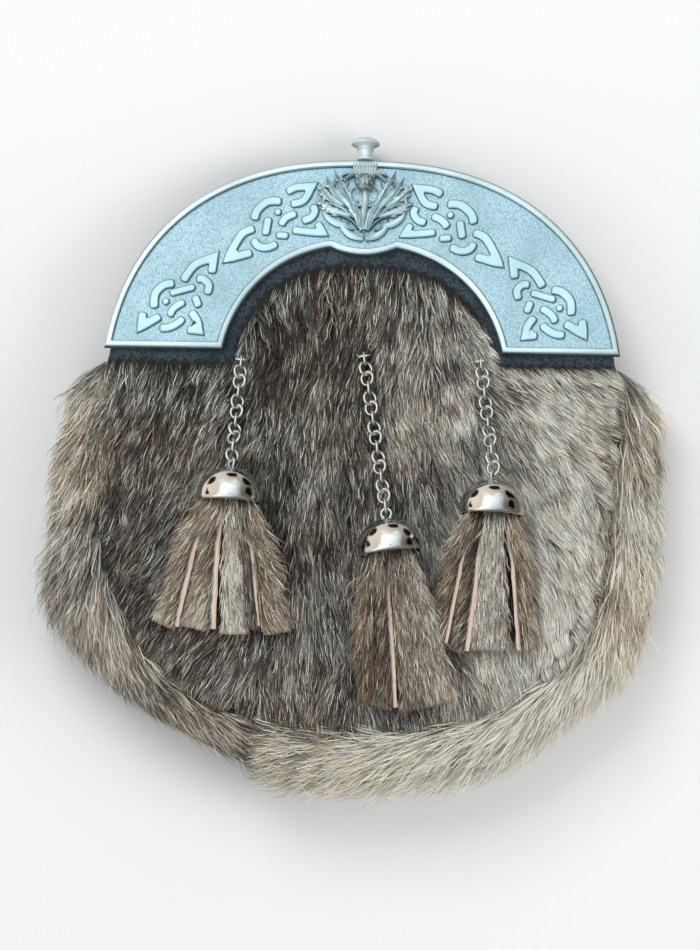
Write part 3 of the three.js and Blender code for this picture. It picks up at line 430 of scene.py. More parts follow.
def smoothLine(line, steps):
    # a rounded line through its points, with the sharp turns left sharp
    points = [np.array(point, float) for point in line]
    runs, run = [], [points[0]]
    for before, here, after in zip(points, points[1:], points[2:]):
        run.append(here)
        turn = np.dot(unit(here - before), unit(after - here))
        if turn < drawing["sharpTurn"]:
            runs.append(run)
            run = [here]
    runs.append(run + [points[-1]])
    drawn = []
    for run in runs:
        padded = [2 * run[0] - run[1], *run, 2 * run[-1] - run[-2]]
        for a, b, c, d in zip(padded, padded[1:], padded[2:], padded[3:]):
            for share in np.arange(steps) / steps:
                drawn.append(0.5 * (2 * b + (c - a) * share + (2 * a - 5 * b + 4 * c - d) * share ** 2
                                    + (3 * b - a - 3 * c + d) * share ** 3))
    return drawn + [points[-1]]


def evenly(line, pitch):
    steps = np.linalg.norm(np.diff(line, axis=0), axis=1)
    run = np.concatenate(((0,), np.cumsum(steps)))
    places = np.linspace(0, run[-1], max(2, round(run[-1] / pitch) + 1))
    return np.stack([np.interp(places, run, line[:, axis]) for axis in range(2)], axis=1)


def bandOutline(points, width, rounding=0.0):
    # outline of a band along a line: pointed at the sharp turns, its ends rounded, folds trimmed away
    line = np.array(points)
    half = width / 2
    first = unit(np.diff(line, axis=0, prepend=line[:1] * 2 - line[1:2]))
    second = np.concatenate((first[1:], first[-1:]))
    turn = (first * second).sum(axis=1)
    normal = np.stack((-first[:, 1] - second[:, 1], first[:, 0] + second[:, 0]), axis=1)
    offset = normal * (half / np.maximum(1 + turn, drawing["bandMiter"]))[:, None]
    fine = evenly(line, drawing["trace"])
    run = np.concatenate(((0,), np.cumsum(np.linalg.norm(np.diff(line, axis=0), axis=1))))
    clearOfEnds = (run > rounding + drawing["endClear"]) & (run < run[-1] - rounding - drawing["endClear"])
    sides = []
    for way in (1, -1):
        side = line + offset * way
        gaps = np.linalg.norm(side[:, None] - fine[None], axis=2).min(axis=1)
        sides.append(side[(gaps > half - drawing["slack"]) & clearOfEnds])
    ends = []
    for spot, ahead in ((line[-1], first[-1]), (line[0], -first[0])):
        across = np.array((-ahead[1], ahead[0]))
        turns = np.linspace(0, math.pi / 2, drawing["cornerSteps"])
        corner = [(half - rounding + rounding * math.cos(t), rounding * math.sin(t)) for t in turns]
        start = spot - ahead * rounding
        ends.append([start + across * out + ahead * up for out, up in corner]
                    + [start - across * out + ahead * up for out, up in corner[::-1]])
    return np.concatenate((sides[0], ends[0], sides[1][::-1], ends[1]))


def insetOutline(outline, distance):
    # a closed outline, counter-clockwise, moved inwards corner by corner
    first = unit(outline - np.roll(outline, 1, axis=0))
    second = np.roll(first, -1, axis=0)
    normal = np.stack((-first[:, 1] - second[:, 1], first[:, 0] + second[:, 0]), axis=1)
    turn = (first * second).sum(axis=1)
    return outline + normal * (distance / np.maximum(1 + turn, drawing["insetMiter"]))[:, None]


def counterClockwise(outline):
    x, y = outline.T
    return outline if np.dot(x, np.roll(y, -1)) > np.dot(y, np.roll(x, -1)) else outline[::-1]


def drawFaceOut(bm, face, spots, keep=False):
    # extrudes a face and moves its corners to the next ring's places
    grown = bmesh.ops.extrude_face_region(bm, geom=[face])["geom"]
    top = next(item for item in grown if isinstance(item, bmesh.types.BMFace))
    walls = {near for edge in top.edges for near in edge.link_faces if near != top}
    if not keep:
        bmesh.ops.delete(bm, geom=[face], context="FACES_ONLY")
    for corner, spot in zip(top.verts, spots):
        corner.co = spot
    return top, walls


def raisedFace(bm, outline, foot, rings):
    # a closed pad: its outline drawn up and stepped in, ring by ring (inset, height, finish)
    outline = counterClockwise(np.array(outline))
    top = bm.faces.new([bm.verts.new((x, y, foot)) for x, y in outline])
    for i, (inset, height, finish) in enumerate(rings):
        spots = [(x, y, height) for x, y in insetOutline(outline, inset)]
        top, walls = drawFaceOut(bm, top, spots, keep=i == 0)
        for wall in walls:
            wall.material_index = finish
        top.material_index = finish


# Cantle: the cast arch with its rim, stippled ground and knots
crest = {"footY": 37.5, "footZ": 24.0, "tilt": 13.7}
crestPlace = Matrix.Translation((0, crest["footY"], crest["footZ"])) @ Matrix.Rotation(
    -math.radians(crest["tilt"]), 4, "X")

cantle = {
    "outerArch": {"cy": -21.0, "a": 84.2, "b": 84.8, "n": 2.38},
    "innerArch": {"cy": -12.9, "a": 46.1, "b": 48.4, "n": 2.2},
    "cuspX": 10.7, "cuspSag": 2.5, "footClear": 3.4, "back": 0.3,
    "finishes": ("rim", "groove", "ground", "pad"),
    # steps of the rim from its edge inwards, then the sunk ground: inset, height, finish; the step of finish
    # 1 at the rim's foot is the groove's dark patina and painted shade
    "rim": [(0, 2.7, 0), (0.3, 3.02, 0), (0.65, 3.17, 0), (1.75, 3.2, 0), (1.95, 3.05, 0), (2.1, 2.3, 0),
            (2.3, 1.95, 1), (2.5, 2.0, 2), (2.51, 2.0, 2)],
    "padWall": 0.44, "padFoot": 1.7, "padCorner": 1.25,
    # each pad's foot and wall take finish 1, the groove's dark patina and painted shade
    "pad": [(0, 2.0, 1), (0.22, 2.5, 1), (0.3, 2.7, 3), (0.5, 2.86, 3), (0.75, 2.93, 3), (0.76, 2.93, 3)],
    "beadRadius": 0.95, "beadSteps": 16, "bandSteps": 6, "outerSteps": 150, "innerSteps": 50, "sagSteps": 14,
}

knots = [  # left half, about each knot's middle; the right half mirrors it
    {"middle": (-60.3, 16.2), "bead": (-3.1, -0.8), "bands": [
        (2.4, [(2.2, 5.8), (3.7, 8.6), (6.4, 11.8), (12.1, 14.3), (11.4, 8.6)]),
        (2.2, [(6.3, 6.9), (8.7, 6.8), (10.6, 4.8), (10.1, 1.5)]),
        (1.9, [(-2.1, 1.8), (6.4, 4.3)]),
        (2.4, [(-0.3, 5.4), (-4, 4.5), (-6.6, 1.5), (-6.9, -3.4)]),
        (2.1, [(-2, -6), (-0.5, -3.1), (3.1, -0.6)]),
        (2.1, [(6, 1.5), (7.7, -2.8)]),
        (2.4, [(-10.4, -4.3), (-10.9, -9.6), (-4.6, -5.6)]),
        (2.2, [(-5.1, -9.8), (-1.8, -9.5), (1.2, -7.8), (2.8, -6)]),
        (2.3, [(4.8, -3.7), (7.1, -7.1), (7.8, -10.4), (3.7, -10)]),
    ]},
    {"middle": (-28.6, 42.0), "bead": (0.7, 4.0), "bands": [
        (2.2, [(3.2, 10.6), (6.3, 12.3), (11.6, 12.9), (8.9, 8), (4.6, 6.6)]),
        (2.2, [(11.7, 6.8), (12.6, 4.4), (11.2, 2.1), (8.3, 1.1)]),
        (2.4, [(2, 7.7), (-2.6, 7.4), (-6, 4.4), (-7, 0.9)]),
        (2.2, [(1.4, -0.6), (3.4, 2.1), (6.9, 3.8)]),
        (2.2, [(-2.3, 2.4), (-3.3, -4.1)]),
        (2.1, [(5.2, -1.9), (10.6, -2.5), (15.5, -2.8), (13.2, 0.9)]),
        (1.9, [(0, -3.7), (4.5, -4)]),
        (2.2, [(-7.4, -5), (-5.4, -7.6), (-2.3, -8), (0.9, -6.5)]),
        (2.4, [(-6.6, -1.5), (-10.6, -3.5), (-13.5, -8.3), (-15.2, -12.1), (-7.2, -9.7)]),
    ]},
]


def cantleOutline():
    outerArch, innerArch = cantle["outerArch"], cantle["innerArch"]
    outerFoot, innerFoot = angleAtHeight(outerArch, 0), angleAtHeight(innerArch, 0)
    innerCusp = angleAtWidth(innerArch, cantle["cuspX"])
    outer = superArc(outerArch, outerFoot, math.pi - outerFoot, cantle["outerSteps"])
    left = superArc(innerArch, math.pi - innerFoot, math.pi - innerCusp, cantle["innerSteps"])
    right = superArc(innerArch, innerCusp, innerFoot, cantle["innerSteps"])
    across = np.linspace(-1, 1, cantle["sagSteps"] + 1)[1:-1]
    sag = np.stack((across * cantle["cuspX"], right[0][1] - cantle["cuspSag"] * (1 - across ** 2)), axis=1)
    outline = np.concatenate((outer, left, sag, right))
    return outline[(outline[:, 1] < 0.01) | (outline[:, 1] > cantle["footClear"])]


def makeCantle():
    bm = bmesh.new()
    raisedFace(bm, cantleOutline(), cantle["back"], cantle["rim"])
    turns = np.linspace(0, 2 * math.pi, cantle["beadSteps"] + 1)[:-1]
    bead = np.stack((np.cos(turns), np.sin(turns)), axis=1) * (cantle["beadRadius"] + cantle["padWall"])
    for mirror in (1, -1):
        for knot in knots:
            outlines = []
            for width, line in knot["bands"]:
                drawn = smoothLine(line, cantle["bandSteps"])
                outlines.append(bandOutline(drawn, width + 2 * cantle["padWall"], cantle["padCorner"]))
            for outline in outlines + [bead + knot["bead"]]:
                raisedFace(bm, (outline + knot["middle"]) * (mirror, 1), cantle["padFoot"], cantle["pad"])
    bmesh.ops.recalc_face_normals(bm, faces=bm.faces)
    finishes = [silver[key] for key in cantle["finishes"]]
    finishPiece("cantle_cast", bm, finishes, ("cantle",), crestPlace, sharp=28)


# Thistle badge: ridged blades round a bulb, under a tuft
badge = {
    "middleY": 53.1, "foot": 2.3, "rimTop": 3.5, "finishes": ("antique", "groove", "pad", "burr"),
    "bulb": {"y": 2.95, "radii": (3.4, 2.95, 2.15), "steps": (28, 18)},
    "tuft": {"ridges": 9, "width": 1.0, "height": 1.2, "footHalf": 2.6, "tipHalf": 3.7, "footY": 4.4,
             "tipY": 10.2, "bend": (0.7, 0.5), "round": 0.5, "sink": 0.4, "blunt": 0.4},
    "stem": (1.9, 1.6, [(0, 1), (0.4, -3), (-0.3, -8), (0, -16)]),
    "shadedWallSteepness": 0.2,
    "lobes": {"from": 2.35, "at": (0.3, 0.5, 0.68, 0.86), "spread": 48, "length": 3.0, "width": 1.1,
              "height": 0.92, "last": 0.7, "elbow": 0.5, "tip": (0.8, 0.35)},
    "blades": [  # right half: width, height, line and finish of each
        (3.0, 2.0, [(0.6, -13), (2.6, -7.5), (6.5, -3), (10.5, 0.5), (12.3, 4.8)], 0),
        (2.6, 1.8, [(4.2, -5.5), (6, -1.5), (7.6, 2), (9, 5.8)], 0),
        (2.4, 1.6, [(6, -4.5), (10, -3), (13.2, -0.6), (14.4, 2.6)], 0),
        (2.4, 1.6, [(4.5, -8), (9, -7), (12.6, -5.2), (14.7, -2.6)], 0),
        (2.3, 1.3, [(0.4, -15.9), (4.3, -14.6), (7.0, -11.8), (7.8, -8.6)], 2),
        (2.2, 1.2, [(5.2, -11.2), (8.8, -10.8), (12.2, -8.4), (13.9, -4.9)], 2),
        (1.3, 1.8, [(1.2, -5), (3.8, -3.4), (4.6, -0.4), (3.2, 1.6)], 0),
        (1.2, 2.4, [(2.6, 5.6), (4.6, 5.3), (6.2, 4.0), (7.2, 2.4)], 2),
        (1.3, 2.2, [(2.9, 6.6), (5.6, 6.4), (8.0, 4.9)], 0),
        (1.2, 2.5, [(3.0, -7.5), (6.2, -1.4), (8.6, 3.6), (10.0, 7.6)], 2),
        (1.0, 2.4, [(5, -6), (8.8, -1.9), (11.4, 2.1), (12.6, 5.4)], 2),
        (0.9, 2.1, [(5.5, -6.5), (10.3, -3.6), (13.4, -0.4), (14.8, 1.6)], 2),
        (0.8, 2.4, [(0.9, -12.6), (1.6, -8.6), (3.6, -4.8), (5.8, -2.4)], 2),
        (0.8, 2.5, [(1.5, -11.8), (2.6, -7.6), (4.8, -3.6), (5.8, 0.4)], 0),
        (0.8, 2.2, [(1.8, -12.6), (4.6, -9.4), (8.6, -7.8), (12.0, -6.6)], 2),
        (0.7, 2.3, [(3.4, -9.2), (7.0, -6.0), (10.6, -4.4), (13.2, -3.4)], 0),
        (0.7, 2.2, [(6.4, -2.4), (8.6, 0.2), (10.0, 3.2)], 0),
        (1.2, 1.9, [(5.4, 3.4), (6.8, 0.6), (6.2, -2.6)], 0),
        (0.9, 2.0, [(2.0, -3.2), (3.2, -5.2), (2.4, -7.0)], 2),
        (0.8, 1.8, [(3.2, -12.8), (5.2, -12.2), (6.0, -10.6), (4.6, -9.8)], 0),
    ],
}


def loft(bm, rings):
    face = bm.faces.new([bm.verts.new(spot) for spot in rings[0]])
    for i, ring in enumerate(rings[1:]):
        face = drawFaceOut(bm, face, ring, keep=i == 0)[0]


blade = {
    "steps": 5, "foot": 0.55, "swell": 0.8, "narrowing": 5, "tipHeight": 0.45, "fall": 3, "blunt": 0.06,
    # half of its section: shares of the half width and of the height
    "section": [(1.06, 0.0), (0.95, 0.72), (0.5, 0.88), (0, 1)],
}


def ridgedBlade(bm, width, height, line, foot, blunt=blade["blunt"]):
    # a pointed blade with a ridge along its middle
    points = smoothLine(line, blade["steps"])
    section = blade["section"] + [(-side, rise) for side, rise in blade["section"][-2::-1]]
    rings = []
    for i, point in enumerate(points):
        share = i / (len(points) - 1)
        along = unit(points[min(i + 1, len(points) - 1)] - points[max(i - 1, 0)])
        across = np.array((-along[1], along[0]))
        swell = mix(blade["foot"], 1.0, math.sin(math.pi * share ** blade["swell"]))
        half = width / 2 * max(swell * (1 - share ** blade["narrowing"]), blunt)
        crown = height * mix(1, blade["tipHeight"], share ** blade["fall"])
        rings.append([(*(point + across * half * side), foot + crown * rise) for side, rise in section])
    loft(bm, rings)


def leafLobes(bm, height, points, foot):
    # the notched edge of a thistle leaf: short lobes to both sides
    lobes = badge["lobes"]
    for share in lobes["at"]:
        i = int(share * (len(points) - 2))
        root, along = points[i], unit(points[i + 1] - points[i])
        reach = lobes["length"] * mix(1.0, lobes["last"], share)
        for way in (1, -1):
            turn = math.radians(lobes["spread"] * way)
            out = np.array((along[0] * math.cos(turn) - along[1] * math.sin(turn),
                            along[0] * math.sin(turn) + along[1] * math.cos(turn)))
            tip = root + out * reach * lobes["tip"][0] + along * reach * lobes["tip"][1]
            line = [root, root + out * reach * lobes["elbow"], tip]
            ridgedBlade(bm, lobes["width"], height * lobes["height"], line, foot)


def makeBadge():
    bm = bmesh.new()
    width, height, line = badge["stem"]
    ridgedBlade(bm, width, height, line, badge["foot"])
    for width, height, line, finish in badge["blades"]:
        done = set(bm.faces)
        for mirror in (1, -1):
            drawn = [(mirror * x, y) for x, y in line]
            ridgedBlade(bm, width, height, drawn, badge["foot"])
            if width > badge["lobes"]["from"]:
                leafLobes(bm, height, smoothLine(drawn, blade["steps"]), badge["foot"])
        for face in set(bm.faces) - done:
            face.material_index = finish
    tuft = badge["tuft"]
    for i in range(tuft["ridges"]):
        side = 2 * i / (tuft["ridges"] - 1) - 1
        bendX = mix(tuft["footHalf"], tuft["tipHalf"], tuft["bend"][0])
        bendY = mix(tuft["footY"], tuft["tipY"], tuft["bend"][1])
        line = [(side * tuft["footHalf"], tuft["footY"]), (side * bendX, bendY),
                (side * tuft["tipHalf"], tuft["tipY"] - tuft["round"] * side * side)]
        ridgedBlade(bm, tuft["width"], tuft["height"], line, badge["rimTop"] - tuft["sink"], tuft["blunt"])
    around, over = badge["bulb"]["steps"]
    bulb = bmesh.ops.create_uvsphere(bm, u_segments=around, v_segments=over, radius=1)["verts"]
    rx, ry, rz = badge["bulb"]["radii"]
    middle = Matrix.Translation((0, badge["bulb"]["y"], badge["foot"] + rz))
    bmesh.ops.transform(bm, matrix=middle @ Matrix.Diagonal((rx, ry, rz, 1)), verts=bulb)
    burr, groove = badge["finishes"].index("burr"), badge["finishes"].index("groove")
    for face in {face for vert in bulb for face in vert.link_faces}:
        face.material_index = burr
    bmesh.ops.recalc_face_normals(bm, faces=bm.faces)
    # steep walls take the groove finish: painted shade, with dark patina, down in the pierced work
    for face in bm.faces:
        face.normal_update()
        if abs(face.normal.z) < badge["shadedWallSteepness"] and face.material_index != burr:
            face.material_index = groove
    bmesh.ops.translate(bm, verts=bm.verts, vec=(0, badge["middleY"], 0))
    finishes = [silver[key] for key in badge["finishes"]]
    finishPiece("badge_cast", bm, finishes, ("thistle_badge",), crestPlace, sharp=32)


# Finial: the turned knob on the cantle's crown
finial = {
    "profile": [(2.6, 0), (2.5, 0.6), (2.25, 1.0), (2.2, 2.9), (2.3, 3.2), (2.75, 3.45), (2.75, 3.7),
                (2.2, 4.05), (2.3, 4.4), (3.6, 4.8), (4.55, 5.15), (4.7, 5.4), (4.6, 5.75), (4.0, 6.35),
                (2.8, 7.0), (1.4, 7.33)],
    "top": 7.4, "y": 64.1, "z": 2.0, "steps": 40,
}


def turnedPiece(bm, profile, steps, start, end):
    # a profile of radius and place spun about the Y axis and closed on it at both ends
    spots = [(0, start, 0), *((radius, along, 0) for radius, along in profile), (0, end, 0)]
    verts = [bm.verts.new(spot) for spot in spots]
    edges = [bm.edges.new(pair) for pair in zip(verts, verts[1:])]
    bmesh.ops.spin(bm, geom=verts + edges, cent=(0, 0, 0), axis=(0, 1, 0), angle=2 * math.pi, steps=steps,
                   use_merge=True)
    bmesh.ops.remove_doubles(bm, verts=bm.verts, dist=drawing["weld"])
    bmesh.ops.recalc_face_normals(bm, faces=bm.faces)


def makeFinial():
    bm = bmesh.new()
    turnedPiece(bm, finial["profile"], finial["steps"], start=0, end=finial["top"])
    bmesh.ops.translate(bm, verts=bm.verts, vec=(0, finial["y"], finial["z"]))
    finishPiece("finial_turned", bm, [silver["finial"]], ("finial",), crestPlace, sharp=35)


makeCamera()
makeLight()
makeFloor()
makeCantle()
makeBadge()
makeFinial()
print("cantle, badge and finial made")

# The front: heights of the crowned hide by rows of y, edge, crown and half width
front = {
    "rows": np.array([(-84, 32, 0.6, 40), (-66, 32.8, 3.5, 70), (-45, 33.3, 4.8, 78), (-15, 33, 5.2, 80),
                      (10, 31.5, 5, 81), (27, 28.8, 3.5, 80), (38, 26.1, 3, 42), (52, 22.7, 1.5, 34),
                      (70, 18.3, 0, 30)]),
    "seam": {"topX": 81.5, "topY": 33.5, "maxX": 79.5, "midY": -15.0, "bottomY": -82.0, "n": 2.3},
    "arch": {"cy": 25.0, "a": 40.8, "b": 40.5, "n": 2.6},
    "pile": 1.5, "hide": 1.8, "archSteps": 90, "seamSteps": (16, 60),
    "scallop": 3.5, "scallopDepth": 1.3, "scallopShape": np.array((0.0, 0.75, 1.0, 0.75)),
    "drapeStep": 7.0, "drapeCuts": 12, "drapeShift": 0.13,
}


def frontHeight(x, y):
    rows = front["rows"]
    edge, crown, half = (np.interp(y, rows[:, 0], rows[:, column]) for column in (1, 2, 3))
    return edge + crown * np.maximum(0, 1 - (x / half) ** 2)


def pileHeight(x, y):
    return frontHeight(x, y) + front["pile"]


def seamHalf(y):
    seam = front["seam"]
    share = np.clip((seam["topY"] - y) / (seam["topY"] - seam["midY"]), 0, 1)
    side = seam["maxX"] + (seam["topX"] - seam["maxX"]) * (1 - share) ** 2
    drop = np.clip((seam["midY"] - y) / (seam["midY"] - seam["bottomY"]), 0, 1)
    return np.where(y > seam["midY"], side, seam["maxX"] * (1 - drop ** seam["n"]) ** (1 / seam["n"]))


def archHalf(y):
    arch = front["arch"]
    rise = np.clip((y - arch["cy"]) / arch["b"], 0, 1)
    return arch["a"] * (1 - rise ** arch["n"]) ** (1 / arch["n"])


def panelHalf(y):
    return np.where(y > front["seam"]["topY"], archHalf(y), seamHalf(y))


def seamLine(sideSteps, roundSteps):
    # right top, down round the bottom, to the left top
    seam = front["seam"]
    ys = np.linspace(seam["topY"], seam["midY"], sideSteps + 1)[:-1]
    right = np.stack((seamHalf(ys), ys), axis=1)
    drop = seam["midY"] - seam["bottomY"]
    oval = {"cy": seam["midY"], "a": seam["maxX"], "b": drop, "n": seam["n"]}
    bottom = superArc(oval, 0, -math.pi, roundSteps)
    return np.concatenate((right, bottom, (right * (-1, 1))[::-1]))


def pinked(line):
    # an edge cut in small scallops, on the right of the line's run
    shape = front["scallopShape"]
    points = evenly(line, front["scallop"] / len(shape))
    along = unit(np.gradient(points, axis=0))
    out = np.stack((along[:, 1], -along[:, 0]), axis=1)
    bite = shape[np.arange(len(points)) % len(shape)]
    return points - out * (front["scallopDepth"] * (1 - bite))[:, None]


def frontOutline():
    seam, arch = front["seam"], front["arch"]
    foot = angleAtHeight(arch, seam["topY"])
    over = superArc(arch, math.pi - foot, foot, front["archSteps"])
    top = np.concatenate(([(-seam["topX"], seam["topY"])], over, [(seam["topX"], seam["topY"])]))
    return np.concatenate((seamLine(*front["seamSteps"])[:-1], pinked(top)))


def makeFrontHide():
    bm = bmesh.new()
    bm.faces.new([bm.verts.new((x, y, 0)) for x, y in frontOutline()])
    for axis in (0, 1):
        for k in range(-front["drapeCuts"], front["drapeCuts"] + 1):
            place, normal = [0, 0, 0], [0, 0, 0]
            place[axis], normal[axis] = k * front["drapeStep"] + front["drapeShift"], 1
            whole = bm.verts[:] + bm.edges[:] + bm.faces[:]
            bmesh.ops.bisect_plane(bm, geom=whole, plane_co=place, plane_no=normal)
    bmesh.ops.recalc_face_normals(bm, faces=bm.faces)
    if sum(face.normal.z for face in bm.faces) < 0:
        bmesh.ops.reverse_faces(bm, faces=bm.faces)
    for vert in bm.verts:
        vert.co.z = frontHeight(vert.co.x, vert.co.y)
    bmesh.ops.solidify(bm, geom=bm.faces[:], thickness=front["hide"])
    finishPiece("front_hide", bm, [hideSuede], ("front_panel",))


# Leather: the yoke under the cantle, the back, the gusset wall and the belt loops
leather = {
    "thick": 2.0, "gap": 0.3, "round": 0.45, "backTop": 56.0, "behindTop": 62.0, "behindInset": 4.2,
    "yokeSide": 1.9, "yokeEdge": 1.0, "yokeFoot": -8.6, "yokeOverlap": 10.0, "yokeDrop": 2.06,
    "yokeSteps": (90, 60), "backClear": 2, "backStep": 1, "threadOut": 0.05, "stitchSteps": (6, 5),
    "seamInset": 3.4, "grooveHalf": 0.45, "groove": 0.55, "stitch": 2.6, "stitchPitch": 3.6, "thread": 0.33,
    "loopX": 45.0, "loopWidth": 12.0, "loopFrom": 60.0, "loopTo": 86.0, "loopBend": 2.6, "bendSteps": 7,
}


def yokeBack(y):
    slope = math.tan(math.radians(crest["tilt"]))
    return crest["footZ"] - (y - crest["footY"]) * slope - leather["yokeDrop"]


# Band: the furred gusset, a wall that bulges out of the seam
band = {
    # how far out, and the share of the height
    "section": np.array([(0, 1), (4.5, 1.03), (9, 0.83), (11, 0.5), (9, 0.2), (6, 0)]),
    "low": 2.3, "bulgeStart": 39.5, "bulgeFull": 8.0, "yokeFrom": 15, "probe": 0.6, "noRun": 1e-6,
    "pitch": 3.0, "sectionSteps": 16, "behindSteps": 10, "seamSteps": (20, 120),
}
band["lastRow"] = len(band["section"]) - 1


def bandFrames(line):
    along = unit(np.gradient(line, axis=0))
    outward = np.stack((-along[:, 1], along[:, 0]), axis=1)
    hide = frontHeight(line[:, 0], line[:, 1]) - front["hide"]
    under = np.where(line[:, 1] > band["yokeFrom"], yokeBack(line[:, 1]), hide)
    bulge = ease(-line[:, 1], -band["bulgeStart"], -band["bulgeFull"])
    return line, along, outward, under - leather["gap"], bulge


def bandSpot(frames, place, row):
    # a spot of the wall by its place along the seam and down the section, with its normal and both runs
    line, along, outward, top, bulge = frames
    i = place.astype(int)
    rows = np.arange(len(band["section"]))

    def planAt(row):
        out = np.interp(row, rows, band["section"][:, 0]) * bulge[i]
        share = np.interp(row, rows, band["section"][:, 1])
        share = np.where(share > 1, 1 + (share - 1) * bulge[i], share)
        return out, band["low"] + (top[i] - band["low"]) * share

    out, height = planAt(row)
    outA, heightA = planAt(np.maximum(row - band["probe"], 0))
    outB, heightB = planAt(np.minimum(row + band["probe"], band["lastRow"]))
    run = np.stack((outB - outA, heightB - heightA), axis=1)
    run[np.abs(run).sum(axis=1) < band["noRun"]] = (0, -1)  # the rows meet where the wall stands straight
    run = unit(run)
    ring = np.pad(outward[i], ((0, 0), (0, 1)))
    upward = np.array((0, 0, 1.0))
    down = ring * run[:, :1] + upward * run[:, 1:]
    normal = ring * -run[:, 1:] + upward * run[:, :1]
    spots = np.concatenate((line[i] + outward[i] * out[:, None], height[:, None]), axis=1)
    return spots, unit(normal), down, np.pad(along[i], ((0, 0), (0, 1)))


def gussetLine():
    # from behind the cantle down the seam, round the bottom and up again
    arch = cantle["outerArch"]
    ys = np.linspace(leather["behindTop"], crest["footY"], band["behindSteps"])
    local = (ys - crest["footY"]) / math.cos(math.radians(crest["tilt"]))
    rise = (local - arch["cy"]) / arch["b"]
    xs = arch["a"] * (1 - rise ** arch["n"]) ** (1 / arch["n"]) - leather["behindInset"]
    behind = np.stack((xs, ys), axis=1)
    seam = seamLine(*band["seamSteps"])
    return evenly(np.concatenate((behind, seam, (behind * (-1, 1))[::-1])), band["pitch"])


def makeGusset():
    bm = bmesh.new()
    frames = bandFrames(gussetLine())
    rows = np.linspace(0, band["lastRow"], band["sectionSteps"])
    rings = []
    for i in range(len(frames[0])):
        spots, normal = bandSpot(frames, np.full(len(rows), i), rows)[:2]
        rings.append(np.concatenate((spots, (spots - normal * front["hide"])[::-1])))
    loft(bm, rings)
    bmesh.ops.remove_doubles(bm, verts=bm.verts, dist=drawing["weld"])
    bmesh.ops.recalc_face_normals(bm, faces=bm.faces)
    finishPiece("gusset_hide", bm, [hideSuede], ("gusset",))


def makeYoke():
    bm = bmesh.new()
    outerArch = dict(cantle["outerArch"], a=cantle["outerArch"]["a"] - leather["yokeSide"],
                     b=cantle["outerArch"]["b"] - leather["yokeEdge"])
    innerArch = dict(cantle["innerArch"], a=cantle["innerArch"]["a"] - leather["yokeOverlap"],
                     b=cantle["innerArch"]["b"] - leather["yokeOverlap"])
    outerFoot, innerFoot = (angleAtHeight(arch, leather["yokeFoot"]) for arch in (outerArch, innerArch))
    outerSteps, innerSteps = leather["yokeSteps"]
    outline = np.concatenate((superArc(outerArch, outerFoot, math.pi - outerFoot, outerSteps),
                              superArc(innerArch, math.pi - innerFoot, innerFoot, innerSteps)))
    edge, thick = leather["round"], leather["thick"]
    rings = [(-edge, edge - thick, 0), (-edge, -edge, 0), (0, 0, 0)]
    raisedFace(bm, insetOutline(outline, edge), -thick, rings)
    bmesh.ops.recalc_face_normals(bm, faces=bm.faces)
    finishPiece("yoke_leather", bm, [blackLeather], ("yoke",), crestPlace)


def backOutline():
    frames = bandFrames(gussetLine())
    places = np.arange(len(frames[0]))
    foot = bandSpot(frames, places, np.full(len(places), float(band["lastRow"])))[0][:, :2]
    top, step = leather["backTop"], leather["backStep"]
    foot = foot[foot[:, 1] < top - leather["backClear"]]
    return np.concatenate(([(foot[0][0] - step, top)], foot, [(foot[-1][0] + step, top)]))


def makeBack():
    # the outside lies down, with a sewn groove round it
    bm = bmesh.new()
    outline = counterClockwise(backOutline())
    edge, thick, seam, half = (leather[key] for key in ("round", "thick", "seamInset", "grooveHalf"))
    rings = [(0, edge, 0), (edge, 0, 0), (seam - half, 0, 0), (seam - half / 2, leather["groove"], 0),
             (seam + half / 2, leather["groove"], 0), (seam + half, 0, 0)]
    raisedFace(bm, outline, thick, rings)
    bmesh.ops.recalc_face_normals(bm, faces=bm.faces)
    finishPiece("back_leather", bm, [blackLeather], ("back_panel",))
    row = insetOutline(outline, leather["seamInset"])
    row = evenly(np.concatenate((row, row[:1])), leather["stitchPitch"])[:-1]
    along = unit(np.roll(row, -1, axis=0) - np.roll(row, 1, axis=0))
    spots = np.pad(row, ((0, 0), (0, 1)), constant_values=leather["thread"] + leather["threadOut"])
    sewStitches("back_stitches", spots, np.pad(along, ((0, 0), (0, 1))))


def sewStitches(name, spots, along):
    # one small rounded stitch at every place
    bm = bmesh.new()
    upward = Vector((0, 0, 1))
    size = Matrix.Diagonal((leather["thread"], leather["thread"], leather["stitch"] / 2, 1))
    around, over = leather["stitchSteps"]
    for spot, run in zip(spots, along):
        run = Vector(run)
        across = upward.cross(run)
        turned = Matrix((across, run.cross(across), run)).transposed().to_4x4()
        bmesh.ops.create_uvsphere(bm, u_segments=around, v_segments=over, radius=1,
                                  matrix=Matrix.Translation(spot) @ turned @ size)
    finishPiece(name, bm, [thread], sharp=180)


